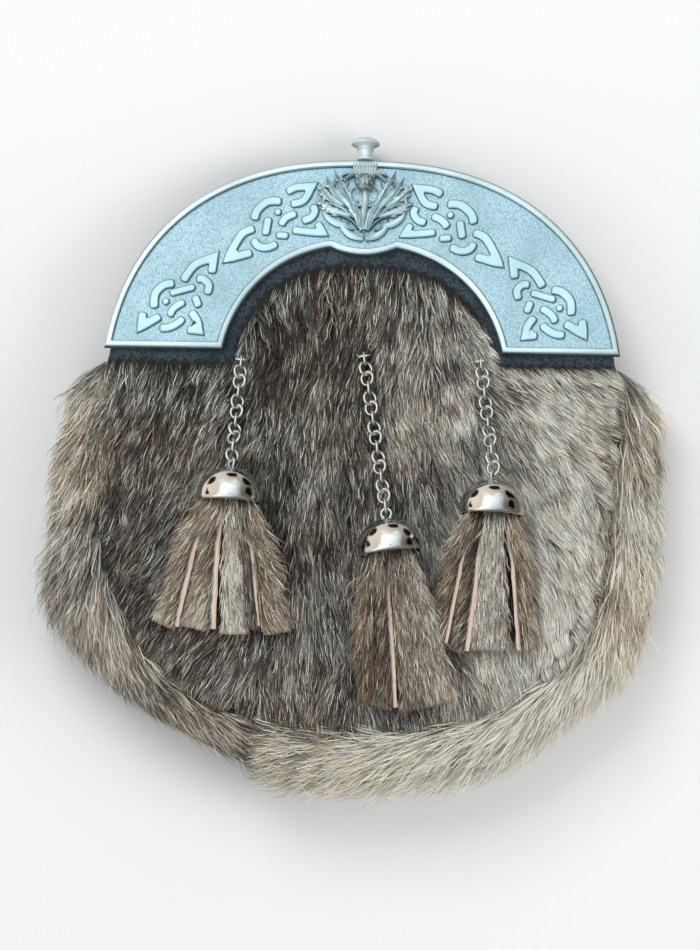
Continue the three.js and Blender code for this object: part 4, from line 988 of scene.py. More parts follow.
def makeLoop(name, side, replaced):
    # a strip bent to a U, its legs up against the yoke's back
    bm = bmesh.new()
    half, bend = leather["thick"] / 2, leather["loopBend"]
    low, high = leather["loopFrom"] + half, leather["loopTo"] - half

    def top(y):
        return yokeBack(y) - leather["gap"] - half * math.tan(math.radians(crest["tilt"]))

    bends = [(1 - math.cos(t), 1 - math.sin(t)) for t in np.linspace(0, math.pi / 2, leather["bendSteps"])]
    line = [(low, top(low))] + [(low + bend * a, half + bend * b) for a, b in bends]
    line += [(high - bend * b, half + bend * a) for a, b in bends] + [(high, top(high))]
    line = np.array(line)
    run = unit(np.gradient(line, axis=0))
    run[0], run[-1] = (0, -1), (0, 1)
    wide, edge = leather["loopWidth"] / 2, leather["round"]
    section = [(wide - edge, half), (wide, half - edge), (wide, edge - half), (wide - edge, -half),
               (edge - wide, -half), (-wide, edge - half), (-wide, half - edge), (edge - wide, half)]
    loft(bm, [[(side * leather["loopX"] + a, y - dz * b, z + dy * b) for a, b in section]
              for (y, z), (dy, dz) in zip(line, run)])
    bmesh.ops.recalc_face_normals(bm, faces=bm.faces)
    finishPiece(name, bm, [blackLeather], (replaced,))


makeFrontHide()
makeGusset()
makeYoke()
makeBack()
makeLoop("loop_left", -1, "strap_loop_left")
makeLoop("loop_right", 1, "strap_loop_right")
print("leather and hide made")

# Hangings: chain, cap and tassel, from the staple down
link = {"half": 2.18, "wire": 0.98, "width": 5.2, "ringSteps": 24, "wireSteps": 10,
        "solidWire": 0.94, "solidSides": 10, "fuse": 0.04, "stapleWire": 0.9, "gap": 0.3}
# the spacing is that of the solids' links, whose wire has flat sides
link["reach"] = (link["half"] - link["solidWire"] / 2) * math.cos(math.pi / link["solidSides"])
link["pitch"] = 2 * link["reach"] + link["fuse"]
link["hold"] = link["reach"] - link["stapleWire"] / 2 - link["gap"]
chain = {"rest": 2.5, "riseFrom": 0.45, "riseTo": 0.97, "rollStep": 120.0, "trace": 0.05}
cap = {
    "length": 14.4, "pitch": 8.0, "lipRadius": 10.2, "bedClear": 0.6, "bed": (0.3, 0.6, 1.0, 1.3),
    "apex": 2.9, "dome": 9.5, "radius": 10.4, "wall": 0.9, "steps": 72, "domeSteps": 16,
    "lip": [(10.4, -12.6), (10.4, -13.2), (10.3, -13.8), (10.0, -14.25), (9.6, -14.4), (9.4, -14.2),
            (9.4, -12.4)],
    "eyeRadius": 1.6, "eyeWire": 0.9, "eyeSteps": 28, "eyeWireSteps": 10,
}
hangings = {
    "left": {"x": -38.6, "y": 34.4, "lean": -4.0, "swing": -2.5, "links": 11, "strips": 39.6, "fan": 19.0,
             "flare": 14, "stripSeed": 61, "hairSeed": 41},
    "middle": {"x": 0.6, "y": 36.2, "lean": 9.0, "swing": 7.3, "links": 16, "strips": 48.0, "fan": 14.8,
               "flare": 5, "stripSeed": 62, "hairSeed": 42},
    "right": {"x": 38.0, "y": 35.2, "lean": 7.2, "swing": -2.0, "links": 12, "strips": 41.5, "fan": 16.0,
              "flare": 12, "stripSeed": 63, "hairSeed": 43},
}


def hangingPath(hanging):
    # where the staple, each link and the cap's eye lie on the coat, and the height of the cap's bed
    down = headingOf(hanging["lean"])
    start = np.array((hanging["x"], hanging["y"], 0.0))
    length = 2 * link["hold"] + (hanging["links"] - 1) * link["pitch"]

    def pileAt(run):
        return float(pileHeight(*(start + down * run)[:2]))

    bed = max(pileAt(length + cap["length"] * share) for share in cap["bed"])
    tipped = cap["length"] * math.sin(math.radians(cap["pitch"]))
    eyeHeight = bed + cap["lipRadius"] + cap["bedClear"] - tipped
    rise = eyeHeight - pileAt(length) - chain["rest"]

    def pointAt(run):
        lift = chain["rest"] + rise * float(ease(run / length, chain["riseFrom"], chain["riseTo"]))
        return start + down * run + np.array((0, 0, pileAt(run) + lift))

    stretches = [link["hold"]] + [link["pitch"]] * (hanging["links"] - 1) + [link["hold"]]
    points, run = [pointAt(0)], 0.0
    for stretch in stretches:
        while np.linalg.norm(pointAt(run) - points[-1]) < stretch:
            run += chain["trace"]
        points.append(pointAt(run))
    return points, bed


for hanging in hangings.values():
    hanging["points"], hanging["bed"] = hangingPath(hanging)


def ringOf(bm, halfWidth, halfLength, wire, ringSteps, wireSteps, place):
    # a wire ring: one circle drawn round the oval and joined up
    turns = np.linspace(0, 2 * math.pi, ringSteps + 1)[:-1]
    loops = []
    for turn in turns:
        middle = Vector((halfWidth * math.cos(turn), halfLength * math.sin(turn), 0))
        out = Vector((math.cos(turn) / halfWidth, math.sin(turn) / halfLength, 0)).normalized()
        frameAt = Matrix((out, (0, 0, 1), out.cross(Vector((0, 0, 1))))).transposed().to_4x4()
        circle = bmesh.ops.create_circle(bm, segments=wireSteps, radius=wire / 2,
                                         matrix=place @ Matrix.Translation(middle) @ frameAt)["verts"]
        edges = {edge for vert in circle for edge in vert.link_edges}
        loops.append(sorted(edges, key=lambda edge: edge.index))
    for before, after in zip(loops, loops[1:] + loops[:1]):
        bmesh.ops.bridge_loops(bm, edges=before + after)


def linkPlaces(hanging):
    points = hanging["points"]
    for i in range(hanging["links"]):
        run = Vector(points[i] - points[i + 2]).normalized()
        flat = run.cross(Vector((0, 0, 1))).normalized()
        turned = Matrix.Rotation(math.radians(90 + chain["rollStep"] * i), 3, run) @ flat
        basis = Matrix((turned, run, turned.cross(run))).transposed().to_4x4()
        yield Matrix.Translation(points[i + 1]) @ basis


def makeChain(side):
    bm = bmesh.new()
    single = bmesh.new()
    ringOf(single, link["width"] / 2 - link["wire"] / 2, link["half"], link["wire"], link["ringSteps"],
           link["wireSteps"], Matrix.Identity(4))
    bmesh.ops.recalc_face_normals(single, faces=single.faces)
    model = bpy.data.meshes.new("link")
    single.to_mesh(model)
    single.free()
    for place in linkPlaces(hangings[side]):
        before = len(bm.verts)
        bm.from_mesh(model)
        bm.verts.ensure_lookup_table()
        bmesh.ops.transform(bm, matrix=place, verts=bm.verts[before:])
    bpy.data.meshes.remove(model)
    finishPiece("chain_links_" + side, bm, [chrome], ("chain_" + side,), sharp=80)


def makeCap(side):
    hanging = hangings[side]
    bm = bmesh.new()
    turns = np.linspace(0.0, math.pi / 2, cap["domeSteps"] + 1)[1:]

    def domeLine(wall, turns):
        top, tall, wide = -cap["apex"] - wall, cap["dome"] - wall, cap["radius"] - wall
        return [(wide * math.sin(turn), top - tall * (1 - math.cos(turn))) for turn in turns]

    profile = domeLine(0, turns) + cap["lip"] + domeLine(cap["wall"], turns[::-2])
    turnedPiece(bm, profile, cap["steps"], start=-cap["apex"], end=-cap["apex"] - cap["wall"])
    roll = Matrix.Rotation(math.radians(chain["rollStep"] * (hanging["links"] - 1)), 4, "Y")
    middle = Matrix.Translation((0, -cap["eyeRadius"], 0))
    ringOf(bm, cap["eyeRadius"], cap["eyeRadius"], cap["eyeWire"], cap["eyeSteps"], cap["eyeWireSteps"],
           roll @ middle)
    bmesh.ops.recalc_face_normals(bm, faces=bm.faces)
    swung = Matrix.Rotation(math.radians(hanging["swing"]), 4, "Z")
    place = Matrix.Translation(hanging["points"][-1]) @ swung
    place = place @ Matrix.Rotation(-math.radians(cap["pitch"]), 4, "X")
    finishPiece("cap_spun_" + side, bm, [chrome], ("tassel_cap_" + side,), place)


for side in hangings:
    makeChain(side)
    makeCap(side)
    nodes["staple_" + side].data.materials.clear()
    nodes["staple_" + side].data.materials.append(chrome)
print("chains and caps made")


# Hair: every hair is a narrow ribbon of four stations, joined into one mesh from arrays
hair = {
    "stations": np.array((0.0, 0.35, 0.75, 1.0)), "sway": 0.42, "roll": 0.5, "floorGap": 0.4, "taper": 0.75,
    "tint": 0.004, "rampEdge": 0.002,
    # station and side of each corner of a ribbon, then the corners of its faces and where each face starts
    "station": np.array((0, 1, 1, 2, 2, 3)), "side": np.array((0, 1, -1, 1, -1, 0)),
    "corners": np.array((0, 2, 1, 1, 2, 4, 3, 3, 4, 5)), "starts": np.array((0, 3, 7)),
}


def makeHair(name, paths, facing, widths, tones, replaced, seed):
    rng = np.random.default_rng(seed)
    count = len(paths)
    along = unit(paths[:, 3] - paths[:, 0])
    side = unit(np.cross(along, facing))
    lift = np.cross(side, along)
    paths[:, 1:3] += side[:, None] * rng.normal(0, hair["sway"], (count, 2, 1))
    paths[:, :, 2] = np.maximum(paths[:, :, 2], hair["floorGap"])
    roll = rng.normal(0, hair["roll"], count)[:, None]
    side = side * np.cos(roll) + lift * np.sin(roll)
    wide = side * (widths / 2)[:, None]
    narrow = wide * hair["taper"]
    spots = np.stack((paths[:, 0], paths[:, 1] + wide, paths[:, 1] - wide, paths[:, 2] + narrow,
                      paths[:, 2] - narrow, paths[:, 3]), axis=1)
    corners = hair["corners"]
    loops = (np.arange(count)[:, None] * len(hair["station"]) + corners).ravel()
    starts = (np.arange(count)[:, None] * len(corners) + hair["starts"]).ravel()
    mesh = bpy.data.meshes.new(name)
    mesh.vertices.add(count * len(hair["station"]))
    mesh.loops.add(len(loops))
    mesh.polygons.add(len(starts))
    mesh.vertices.foreach_set("co", (spots * mm).astype(np.float32).ravel())
    mesh.loops.foreach_set("vertex_index", loops.astype(np.int32))
    mesh.polygons.foreach_set("loop_start", starts.astype(np.int32))
    mesh.update(calc_edges=True)
    u = np.clip(tones[:, None] + hair["tint"] * hair["side"], hair["rampEdge"], 1 - hair["rampEdge"])
    v = np.broadcast_to(hair["stations"][hair["station"]], u.shape)
    uv = np.stack((u[:, corners], v[:, corners]), axis=-1)
    mesh.uv_layers.new(name="OFBake").data.foreach_set("uv", uv.astype(np.float32).ravel())
    mesh.materials.append(fur)
    mesh.polygons.foreach_set("use_smooth", [True] * len(mesh.polygons))
    addPiece(name, mesh, replaced)


def toneOf(value, warm):
    # places a tone from 0 to 1 in the cool or the warm half of the ramp
    place = furTones["half"] * np.clip(value, 0, 1)
    return np.where(warm, 1 - furTones["half"] + place, place)


def nearestLock(spots, locks):
    tree = KDTree(len(locks))
    for i, spot in enumerate(locks):
        tree.insert(spot, i)
    tree.balance()
    return np.array([tree.find(spot)[1] for spot in spots])


def addPatches(value, x, y, patches):
    # a soft change round each middle
    for cx, cy, reach, change in patches:
        value = value + change * np.exp(-((x - cx) ** 2 + (y - cy) ** 2) / reach ** 2)
    return value


def mottle(strength, x, y, size):
    # patches to both sides of zero
    return strength * (patchNoise(x, y, size) - 0.5)


coat = {
    # dark and cool on the left, pale on the right and along the bottom, of middle tone under the arch
    "left": 0.17, "right": 0.70, "turn": (0, 46), "slant": 0.2, "slantY": 20,
    "arch": 0.49, "archY": (30, 48), "archX": (-5, 12),
    "streak": 0.44, "streakLong": 0.1, "streakSize": 0.8,
    "light": (0.5, 1.1), "lightest": 0.88, "mostLight": 0.6,
    "brown": 0.55, "brownX": 70, "brownSize": 15,
    # middle, reach and how much lighter or darker
    "patches": [
        (-53, 8, 12, 0.15), (-62, -30, 14, -0.04), (-20, 44, 18, -0.08), (-35, -65, 20, 0.18),
        (22, 46, 15, 0.11), (60, 14, 22, -0.03), (66, -20, 24, 0.22), (85, -36, 9, -0.32),
        (83, 22, 9, -0.26), (-84, 24, 13, 0.36), (-95, -30, 12, 0.02), (52, -64, 20, 0.26),
        (78, -62, 16, 0.26), (15, -94, 26, 0.24), (-50, -85, 16, -0.02), (0, 60, 12, -0.10),
        (-16, 10, 18, 0.06), (-12, -30, 22, 0.15), (2, 52, 5, -0.14), (84, 6, 8, -0.14),
        (22, 14, 15, -0.08), (-50, 14, 20, -0.05),
    ],
    # middle, reach and change of the share of brown hairs
    "brownPatches": [
        (-85, 15, 20, 0.35), (-60, 10, 14, 0.2), (-70, -75, 26, 0.35), (-20, -92, 18, 0.3),
        (82, 18, 14, 0.5), (84, -36, 12, 0.5), (-10, 50, 22, 0.15), (60, 15, 22, 0.1),
    ],
}


def coatTone(x, y):
    tone = mix(coat["left"], coat["right"], ease(x + coat["slant"] * (y + coat["slantY"]), *coat["turn"]))
    tone = mix(tone, coat["arch"], ease(y, *coat["archY"]) * ease(x, *coat["archX"]))
    tone = addPatches(tone, x, y, coat["patches"])
    return tone + mottle(0.40, x, y * 0.6, 13) + mottle(0.28, x * 1.2 + 40, y * 0.35, 4.5)


def streaks(across, along, tone):
    # fine light and dark streaks along the hair, strongest on the dark parts
    return mottle(coat["streak"] * (1 - tone), across, along * coat["streakLong"], coat["streakSize"])


def warmShare(x, y, base):
    share = base + mottle(coat["brown"], x + coat["brownX"], y, coat["brownSize"])
    return addPatches(share, x, y, coat["brownPatches"])


def strandTone(rng, tone, spread, pale):
    # most hairs keep near the region's tone, and some are pale, which shows most on the dark parts
    picked = rng.random(len(tone)) < pale
    light = picked * rng.uniform(*coat["light"], len(tone))
    light = light * np.clip(coat["lightest"] - tone, 0, coat["mostLight"])
    return tone + light + rng.normal(0, spread, len(tone))


frontHair = {
    "count": 44000, "length": (7.5, 13.0), "width": (0.15, 0.29), "lift": (2.0, 4.6), "stray": 7,
    "warm": 0.24, "spread": 0.18, "pale": 0.30, "rise": (0.0, 0.62, 1.0, 0.92),
    "from": (0, -82), "to": (82, 65.5), "clear": 1.0,
    "lockPitch": 4.2, "lockFrom": (-84, -84), "lockTo": (84, 67), "lockStray": 9, "lockLength": 12,
    "lockTone": 0.12, "gather": 0.40 * np.array((0, 0.15, 0.7, 1.0)),
    # shorter and set back at the arch's edge
    "edgeFrom": 30, "edgeFar": 30, "edgeLength": 0.5, "edgeReach": 16, "edgeBack": 0.7, "backReach": 4,
    # short, low and dark along the seam, the dark a painted shade where the coats meet
    "seamLength": 3, "lostLength": 9, "seamSlope": 0.85, "seamLift": 0.4, "liftReach": 9, "seamShade": 0.28,
    "shadeReach": (0.5, 5), "seamScale": 73, "lost": 0.15, "lostY": (-45, -5), "lostX": (0, 30),
    # pressed down near what hangs over it
    "pressed": 0.3, "pressReach": (1.0, 5.0), "far": 99.0, "mouthHalf": 10.0, "mouthAt": 14,
    # the way it lies: degrees from straight down
    "leftRun": -26, "leftX": (4, 62), "archRun": 0.5, "archY": (32, 48), "lowRun": 16, "highRun": 42,
    "runY": (-55, 25), "rightX": (2, 46), "runMottle": 34,
}


def frontRun(x, y):
    left = frontHair["leftRun"] * ease(-x, *frontHair["leftX"])
    left = left * mix(1, frontHair["archRun"], ease(y, *frontHair["archY"]))
    right = mix(frontHair["lowRun"], frontHair["highRun"], ease(y, *frontHair["runY"]))
    right = right * ease(x, *frontHair["rightX"])
    return left + right + mottle(frontHair["runMottle"], x + 9, y, 17)


def seamDistance(x, y):
    seam = front["seam"]
    drop = np.clip((seam["midY"] - y) / (seam["midY"] - seam["bottomY"]), 0, None)
    wide = np.abs(x / seamHalf(np.maximum(y, seam["midY"])))
    reach = (wide ** seam["n"] + drop ** seam["n"]) ** (1 / seam["n"])
    return (1 - reach) * frontHair["seamScale"]


def seamShow(x, y):
    # the seam is lost in the coat high on the left
    return mix(1.0, frontHair["lost"], ease(y, *frontHair["lostY"]) * ease(-x, *frontHair["lostX"]))


def hangingDistance(x, y):
    # how far a spot is from the chains, caps and tassels that press on the coat
    nearest = np.full(np.shape(x), frontHair["far"])
    for hanging in hangings.values():
        start, end = hanging["points"][0][:2], hanging["points"][-1][:2]
        run = end - start
        share = np.clip(((x - start[0]) * run[0] + (y - start[1]) * run[1]) / np.dot(run, run), 0, 1)
        gap = np.hypot(x - start[0] - share * run[0], y - start[1] - share * run[1])
        nearest = np.minimum(nearest, gap)
        down, across = headingOf(hanging["swing"]), headingOf(hanging["swing"] + 90)
        along = (x - end[0]) * down[0] + (y - end[1]) * down[1]
        off = np.abs((x - end[0]) * across[0] + (y - end[1]) * across[1])
        opened = np.clip((along - frontHair["mouthAt"]) / hanging["strips"], 0, 1)
        half = mix(frontHair["mouthHalf"], hanging["fan"], opened)
        inside = (along > 0) & (along < cap["length"] + hanging["strips"])
        nearest = np.where(inside, np.minimum(nearest, np.maximum(off - half, 0)), nearest)
    return nearest


def rootsInPanel(rng, side):
    picked = np.empty((0, 2))
    while len(picked) < frontHair["count"]:
        spots = rng.uniform(frontHair["from"], frontHair["to"], (frontHair["count"], 2)) * (side, 1)
        inside = np.abs(spots[:, 0]) < panelHalf(spots[:, 1]) - frontHair["clear"]
        picked = np.concatenate((picked, spots[inside]))
    return picked[:frontHair["count"]].T


def archGap(x, y):
    # how far a spot is from the arch's edge, as far as that matters
    arch = front["arch"]
    gap = np.minimum(archHalf(np.maximum(y, arch["cy"])) - np.abs(x), arch["cy"] + arch["b"] - y)
    return np.where(y > frontHair["edgeFrom"], gap, frontHair["edgeFar"])


def growFront(name, side, seed, replaced):
    rng = np.random.default_rng(seed)
    count = frontHair["count"]
    x, y = rootsInPanel(rng, side)
    (fromX, fromY), (toX, toY) = frontHair["lockFrom"], frontHair["lockTo"]
    lockCount = int((toX - fromX) * (toY - fromY) / frontHair["lockPitch"] ** 2)
    locks = rng.uniform((fromX, fromY), (toX, toY), (lockCount, 2))
    lock = nearestLock(np.stack((x, y, 0 * x), axis=1), np.pad(locks, ((0, 0), (0, 1))))
    lx, ly = locks[lock].T
    angle = np.radians(frontRun(x, y) + rng.normal(0, frontHair["stray"], count))
    lockAngle = np.radians(frontRun(lx, ly) + rng.normal(0, frontHair["lockStray"], lockCount)[lock])
    edge, show = archGap(x, y), seamShow(x, y)
    seamGap = np.maximum(seamDistance(x, y), 0)
    length = rng.uniform(*frontHair["length"], count)
    length = length * mix(frontHair["edgeLength"], 1, ease(edge, 0, frontHair["edgeReach"]))
    atSeam = mix(frontHair["lostLength"], frontHair["seamLength"], show)
    length = np.minimum(length, atSeam + frontHair["seamSlope"] * seamGap)
    lowest = mix(1, frontHair["seamLift"], show)
    lift = rng.uniform(*frontHair["lift"], count) * mix(lowest, 1, ease(seamGap, 0, frontHair["liftReach"]))
    back = frontHair["edgeBack"] * (1 - ease(edge, 0, frontHair["backReach"])) / length
    paths = np.zeros((count, 4, 3))
    for i, share in enumerate(hair["stations"]):
        run, lockRun, gather = share - back, frontHair["lockLength"], frontHair["gather"][i]
        px = mix(x + np.sin(angle) * length * run, lx + np.sin(lockAngle) * lockRun * share, gather)
        py = mix(y - np.cos(angle) * length * run, ly - np.cos(lockAngle) * lockRun * share, gather)
        press = mix(frontHair["pressed"], 1.0, ease(hangingDistance(px, py), *frontHair["pressReach"]))
        paths[:, i] = np.stack((px, py, frontHeight(px, py) + lift * frontHair["rise"][i] * press), axis=1)
    tone = coatTone(x, y) + rng.normal(0, frontHair["lockTone"], lockCount)[lock]
    # hairs near the seam are darkened: painted shade where the coats meet
    tone = tone - frontHair["seamShade"] * (1 - ease(seamGap, *frontHair["shadeReach"])) * show
    across, along = x * np.cos(angle) + y * np.sin(angle), x * np.sin(angle) - y * np.cos(angle)
    tone = tone + streaks(across, along, tone)
    tone = strandTone(rng, tone, frontHair["spread"], frontHair["pale"])
    tones = toneOf(tone, rng.random(count) < warmShare(x, y, frontHair["warm"]))
    facing = np.broadcast_to(np.array((0, 0, 1.0)), (count, 3))
    widths = rng.uniform(*frontHair["width"], count)
    makeHair(name, paths, facing, widths, tones, replaced, seed)


growFront("front_hair_left", -1, 21, ("front_fur",))
growFront("front_hair_right", 1, 22, ())
print("front hair made")

bandHair = {
    "count": 44000, "length": (12.0, 18.5), "width": (0.18, 0.36), "lift": (3.0, 8.0), "foot": 0.4,
    "warm": 0.38, "spread": 0.17, "pale": 0.17, "palest": 0.42, "paleX": (20, 60), "partingX": -20.0,
    "seamSteps": (40, 200), "pitch": 1.0, "within": 0.99, "rows": 4.8, "rowCurve": 1.25,
    "rise": np.array((0.0, 0.55, 0.95, 1.0)), "streakWide": 6,
    "perLock": 9, "lockTone": 0.17, "gather": 0.42 * np.array((0, 0.1, 0.6, 1.0)),
    # degrees that it leaves the seam's run by, more on the left
    "highFlare": 11, "lowFlare": 8, "flareRow": (1.5, 4), "leftFlare": 14, "leftX": (60, 90),
    "leftY": (-50, -10), "lockFlare": 10, "strandFlare": 8,
    # shorter and lower at the seam
    "seamLength": 0.55, "lengthRow": 0.9, "seamLift": 0.2, "liftRow": (0.3, 1.5),
    # standing up below and on the left, then where it does so more or less: middle, reach, change
    "lowLift": 0.75, "lowY": (60, 90), "leftLift": 0.2, "leastLift": 0.4,
    "tufts": [(-96, -33, 17, 1.15), (84, 31, 9, 1.1), (-83, 33, 8, 0.6), (84, -52, 14, 0.5),
              (-54, -82, 27, -1.0)],
    "stray": 0.12, "strayLift": (0.9, 1.25), "strayLie": 0.16,
    # tone by x, rougher on the left, with painted shade at the seam
    "toneX": (-100, -70, -40, -10, 30, 100), "tone": (0.52, 0.47, 0.43, 0.97, 1.12, 1.0),
    "rough": 1.5, "roughX": (-50, 0), "seamShade": 0.55, "shadeRow": (0.25, 1.15),
}


def bandTone(x, y, row):
    tone = addPatches(np.interp(x, bandHair["toneX"], bandHair["tone"]), x, y, coat["patches"])
    rough = mix(bandHair["rough"], 1.0, ease(x, *bandHair["roughX"]))
    tone = tone + rough * (mottle(0.40, x, y, 13) + mottle(0.26, x + 30, y, 5.5))
    # hairs low at the seam are darkened: painted shade where the coats meet
    return tone - bandHair["seamShade"] * (1 - ease(row, *bandHair["shadeRow"])) * seamShow(x, y)


def growBand(name, side, seed, replaced):
    rng = np.random.default_rng(seed)
    frames = bandFrames(evenly(seamLine(*bandHair["seamSteps"]), bandHair["pitch"]))
    allowed = np.flatnonzero(frames[0][:, 0] * side > 0)
    count = bandHair["count"]
    place = rng.choice(allowed, count) + rng.random(count) * bandHair["within"]
    row = bandHair["rows"] * rng.random(count) ** bandHair["rowCurve"]
    spots, normal, down, along = bandSpot(frames, place, row)
    x, y = spots[:, 0], spots[:, 1]
    toParting = np.where(spots[:, :1] > bandHair["partingX"], 1.0, -1.0)
    lockSpots = spots[rng.choice(count, int(count / bandHair["perLock"]))]
    lock = nearestLock(spots, lockSpots)
    flare = mix(bandHair["highFlare"], bandHair["lowFlare"], ease(row, *bandHair["flareRow"]))
    flare = flare + bandHair["leftFlare"] * ease(-x, *bandHair["leftX"]) * ease(y, *bandHair["leftY"])
    flare = flare + rng.normal(0, bandHair["lockFlare"], len(lockSpots))[lock]
    flare = np.radians(flare + rng.normal(0, bandHair["strandFlare"], count))
    lie = unit(along * toParting * np.cos(flare)[:, None] + down * np.sin(flare)[:, None])
    length = rng.uniform(*bandHair["length"], count)
    length = length * mix(bandHair["seamLength"], 1, ease(row, 0, bandHair["lengthRow"]))
    lift = rng.uniform(*bandHair["lift"], count)
    lift = lift * mix(bandHair["seamLift"], 1, ease(row, *bandHair["liftRow"]))
    raised = 1 + bandHair["lowLift"] * ease(-y, *bandHair["lowY"])
    raised = raised + bandHair["leftLift"] * ease(-x, *bandHair["leftX"])
    lift = lift * np.maximum(addPatches(raised, x, y, bandHair["tufts"]), bandHair["leastLift"])
    stray = rng.random(count) < bandHair["stray"]
    lift = np.where(stray, lift * rng.uniform(*bandHair["strayLift"], count), lift)
    lie = unit(lie + np.where(stray[:, None], rng.normal(0, bandHair["strayLie"], (count, 3)), 0))
    paths = spots[:, None] + lie[:, None] * (length[:, None] * hair["stations"])[..., None]
    paths = paths + normal[:, None] * (bandHair["foot"] + lift[:, None] * bandHair["rise"])[..., None]
    members = [np.flatnonzero(lock == k) for k in range(len(lockSpots))]
    first = np.array([member[0] if len(member) else 0 for member in members])
    paths = mix(paths, paths[first][lock], bandHair["gather"][None, :, None])
    tone = bandTone(x, y, row) + rng.normal(0, bandHair["lockTone"], len(lockSpots))[lock]
    tone = tone + streaks(row * bandHair["streakWide"], place, tone)
    pale = mix(bandHair["pale"], bandHair["palest"], ease(-x, *bandHair["paleX"]))
    tone = strandTone(rng, tone, bandHair["spread"], pale)
    tones = toneOf(tone, rng.random(count) < warmShare(x, y, bandHair["warm"]))
    widths = rng.uniform(*bandHair["width"], count)
    makeHair(name, paths, normal, widths, tones, replaced, seed)


growBand("band_hair_left", -1, 31, ("gusset_fur",))
growBand("band_hair_right", 1, 32, ())
print("band hair made")

# Tassels: strips of haired hide, cut straight across, out of each cap
strip = {
    "thick": 1.05, "uneven": (0.75, 1.2), "mouthHalf": 6.4, "steps": 16, "bow": 0.9,
    # how far along, None for the cut end, and the share of the fan
    "stations": ((10.5, 0.0), (15.5, 0.06), (30.0, 0.55), (None, 1.0)),
    "heights": (12.6, 12.6, 9.4, 5.8), "lowHeights": (6.4, 5.4, 3.9, 2.4), "lowFan": 0.86, "lowMouth": 0.6,
    "edgeShows": 15, "showEdge": 3.0, "rollBy": 0.3,
    "finishes": (cutEdge, hideSuede, bareHide),
    "bare": ("middle", 0, 0.62),  # tassel, strip and where its hair ends
    # from and to across the fan, roll towards the cut edge that shows, hair tone, warm share, cut length
    "cuts": {
        "left": [(-1.0, -0.72, 40, 0.60, 0.85, 1.0), (-0.62, -0.08, 32, 0.67, 0.75, 1.0),
                 (0.0, 0.38, 0, 0.78, 0.45, 1.02), (0.45, 0.64, 50, 0.40, 0.5, 0.97),
                 (0.67, 1.0, -8, 0.54, 0.85, 1.0)],
        "middle": [(-1.0, -0.70, 12, 0.40, 0.9, 0.97), (-0.62, -0.2, 46, 0.44, 0.85, 1.0),
                   (-0.12, 0.42, -4, 0.52, 0.65, 1.02), (0.44, 1.0, -8, 0.62, 0.6, 1.0)],
        "right": [(-1.0, -0.74, 42, 0.56, 0.85, 0.98), (-0.70, -0.30, 36, 0.46, 0.75, 1.03),
                  (-0.24, 0.44, 0, 0.76, 0.35, 1.0), (0.62, 1.0, -52, 0.60, 0.9, 1.0)],
        "low": [(-1.0, -0.36, 6, 0.22, 0.6, 0.94), (-0.34, 0.34, 0, 0.20, 0.5, 0.95),
                (0.36, 1.0, -6, 0.24, 0.6, 0.94)],
    },
}
stripHair = {
    "count": 15000, "length": (6.0, 12.0), "width": (0.17, 0.32), "lift": (0.6, 2.4), "spread": 0.21,
    "lowShare": 0.18, "bareEdge": 0.84, "bareOdds": 5, "rootCurve": 0.9, "rootEnd": 0.985, "across": 0.96,
    "edgeLean": 12, "stripLean": 5, "strandLean": 9, "past": 1.2, "fullLift": 6, "leastLift": 0.2,
    "mouthLift": 1.5, "mouthReach": (0.1, 0.4), "rise": np.array((0, 0.6, 1.0, 1.0)), "ribbonSeed": 51,
}


def stripFrames(hanging, cut, low, bow):
    # middle line, run, side direction, half width and top normal of one strip, from mouth to cut end
    left, right, roll, tone, warm, reach = cut
    end = cap["length"] + hanging["strips"] * reach
    places = [end if place is None else place for place, opened in strip["stations"]]
    along = np.linspace(places[0], end, strip["steps"] + 1)
    opened = np.interp(along, places, [opened for place, opened in strip["stations"]])
    mouth = strip["mouthHalf"] * (strip["lowMouth"] if low else 1)
    fan = mix(mouth, hanging["fan"] * (strip["lowFan"] if low else 1), opened)
    half = (right - left) / 2 * fan
    side = (left + right) / 2 * fan + bow * np.sin(math.pi * opened)
    down, across = headingOf(hanging["swing"]), headingOf(hanging["swing"] + 90)
    eye = np.array((*hanging["points"][-1][:2], 0))
    spots = eye + down * along[:, None] + across * side[:, None]
    pile = pileHeight(spots[:, 0], spots[:, 1])
    base = np.maximum(pile, mix(hanging["bed"], pile, opened))
    spots[:, 2] = base + np.interp(along, places, strip["lowHeights" if low else "heights"])
    if abs(roll) > strip["edgeShows"]:  # a narrow strip is held up until its cut edge shows
        spots[:, 2] += opened * max(0, strip["showEdge"] - half[-1] * math.sin(math.radians(abs(roll))))
    roll = np.radians(roll) * ease(opened, 0.0, strip["rollBy"])
    run = unit(np.gradient(spots, axis=0))
    flat = unit(np.cross(run, np.array((0, 0, 1.0))))
    up = np.cross(flat, run)
    sideways = -flat * np.cos(roll)[:, None] + up * np.sin(roll)[:, None]
    normal = unit(np.cross(sideways, run))
    normal = np.where(normal[:, 2:] < 0, -normal, normal)
    return spots, run, sideways, half, normal


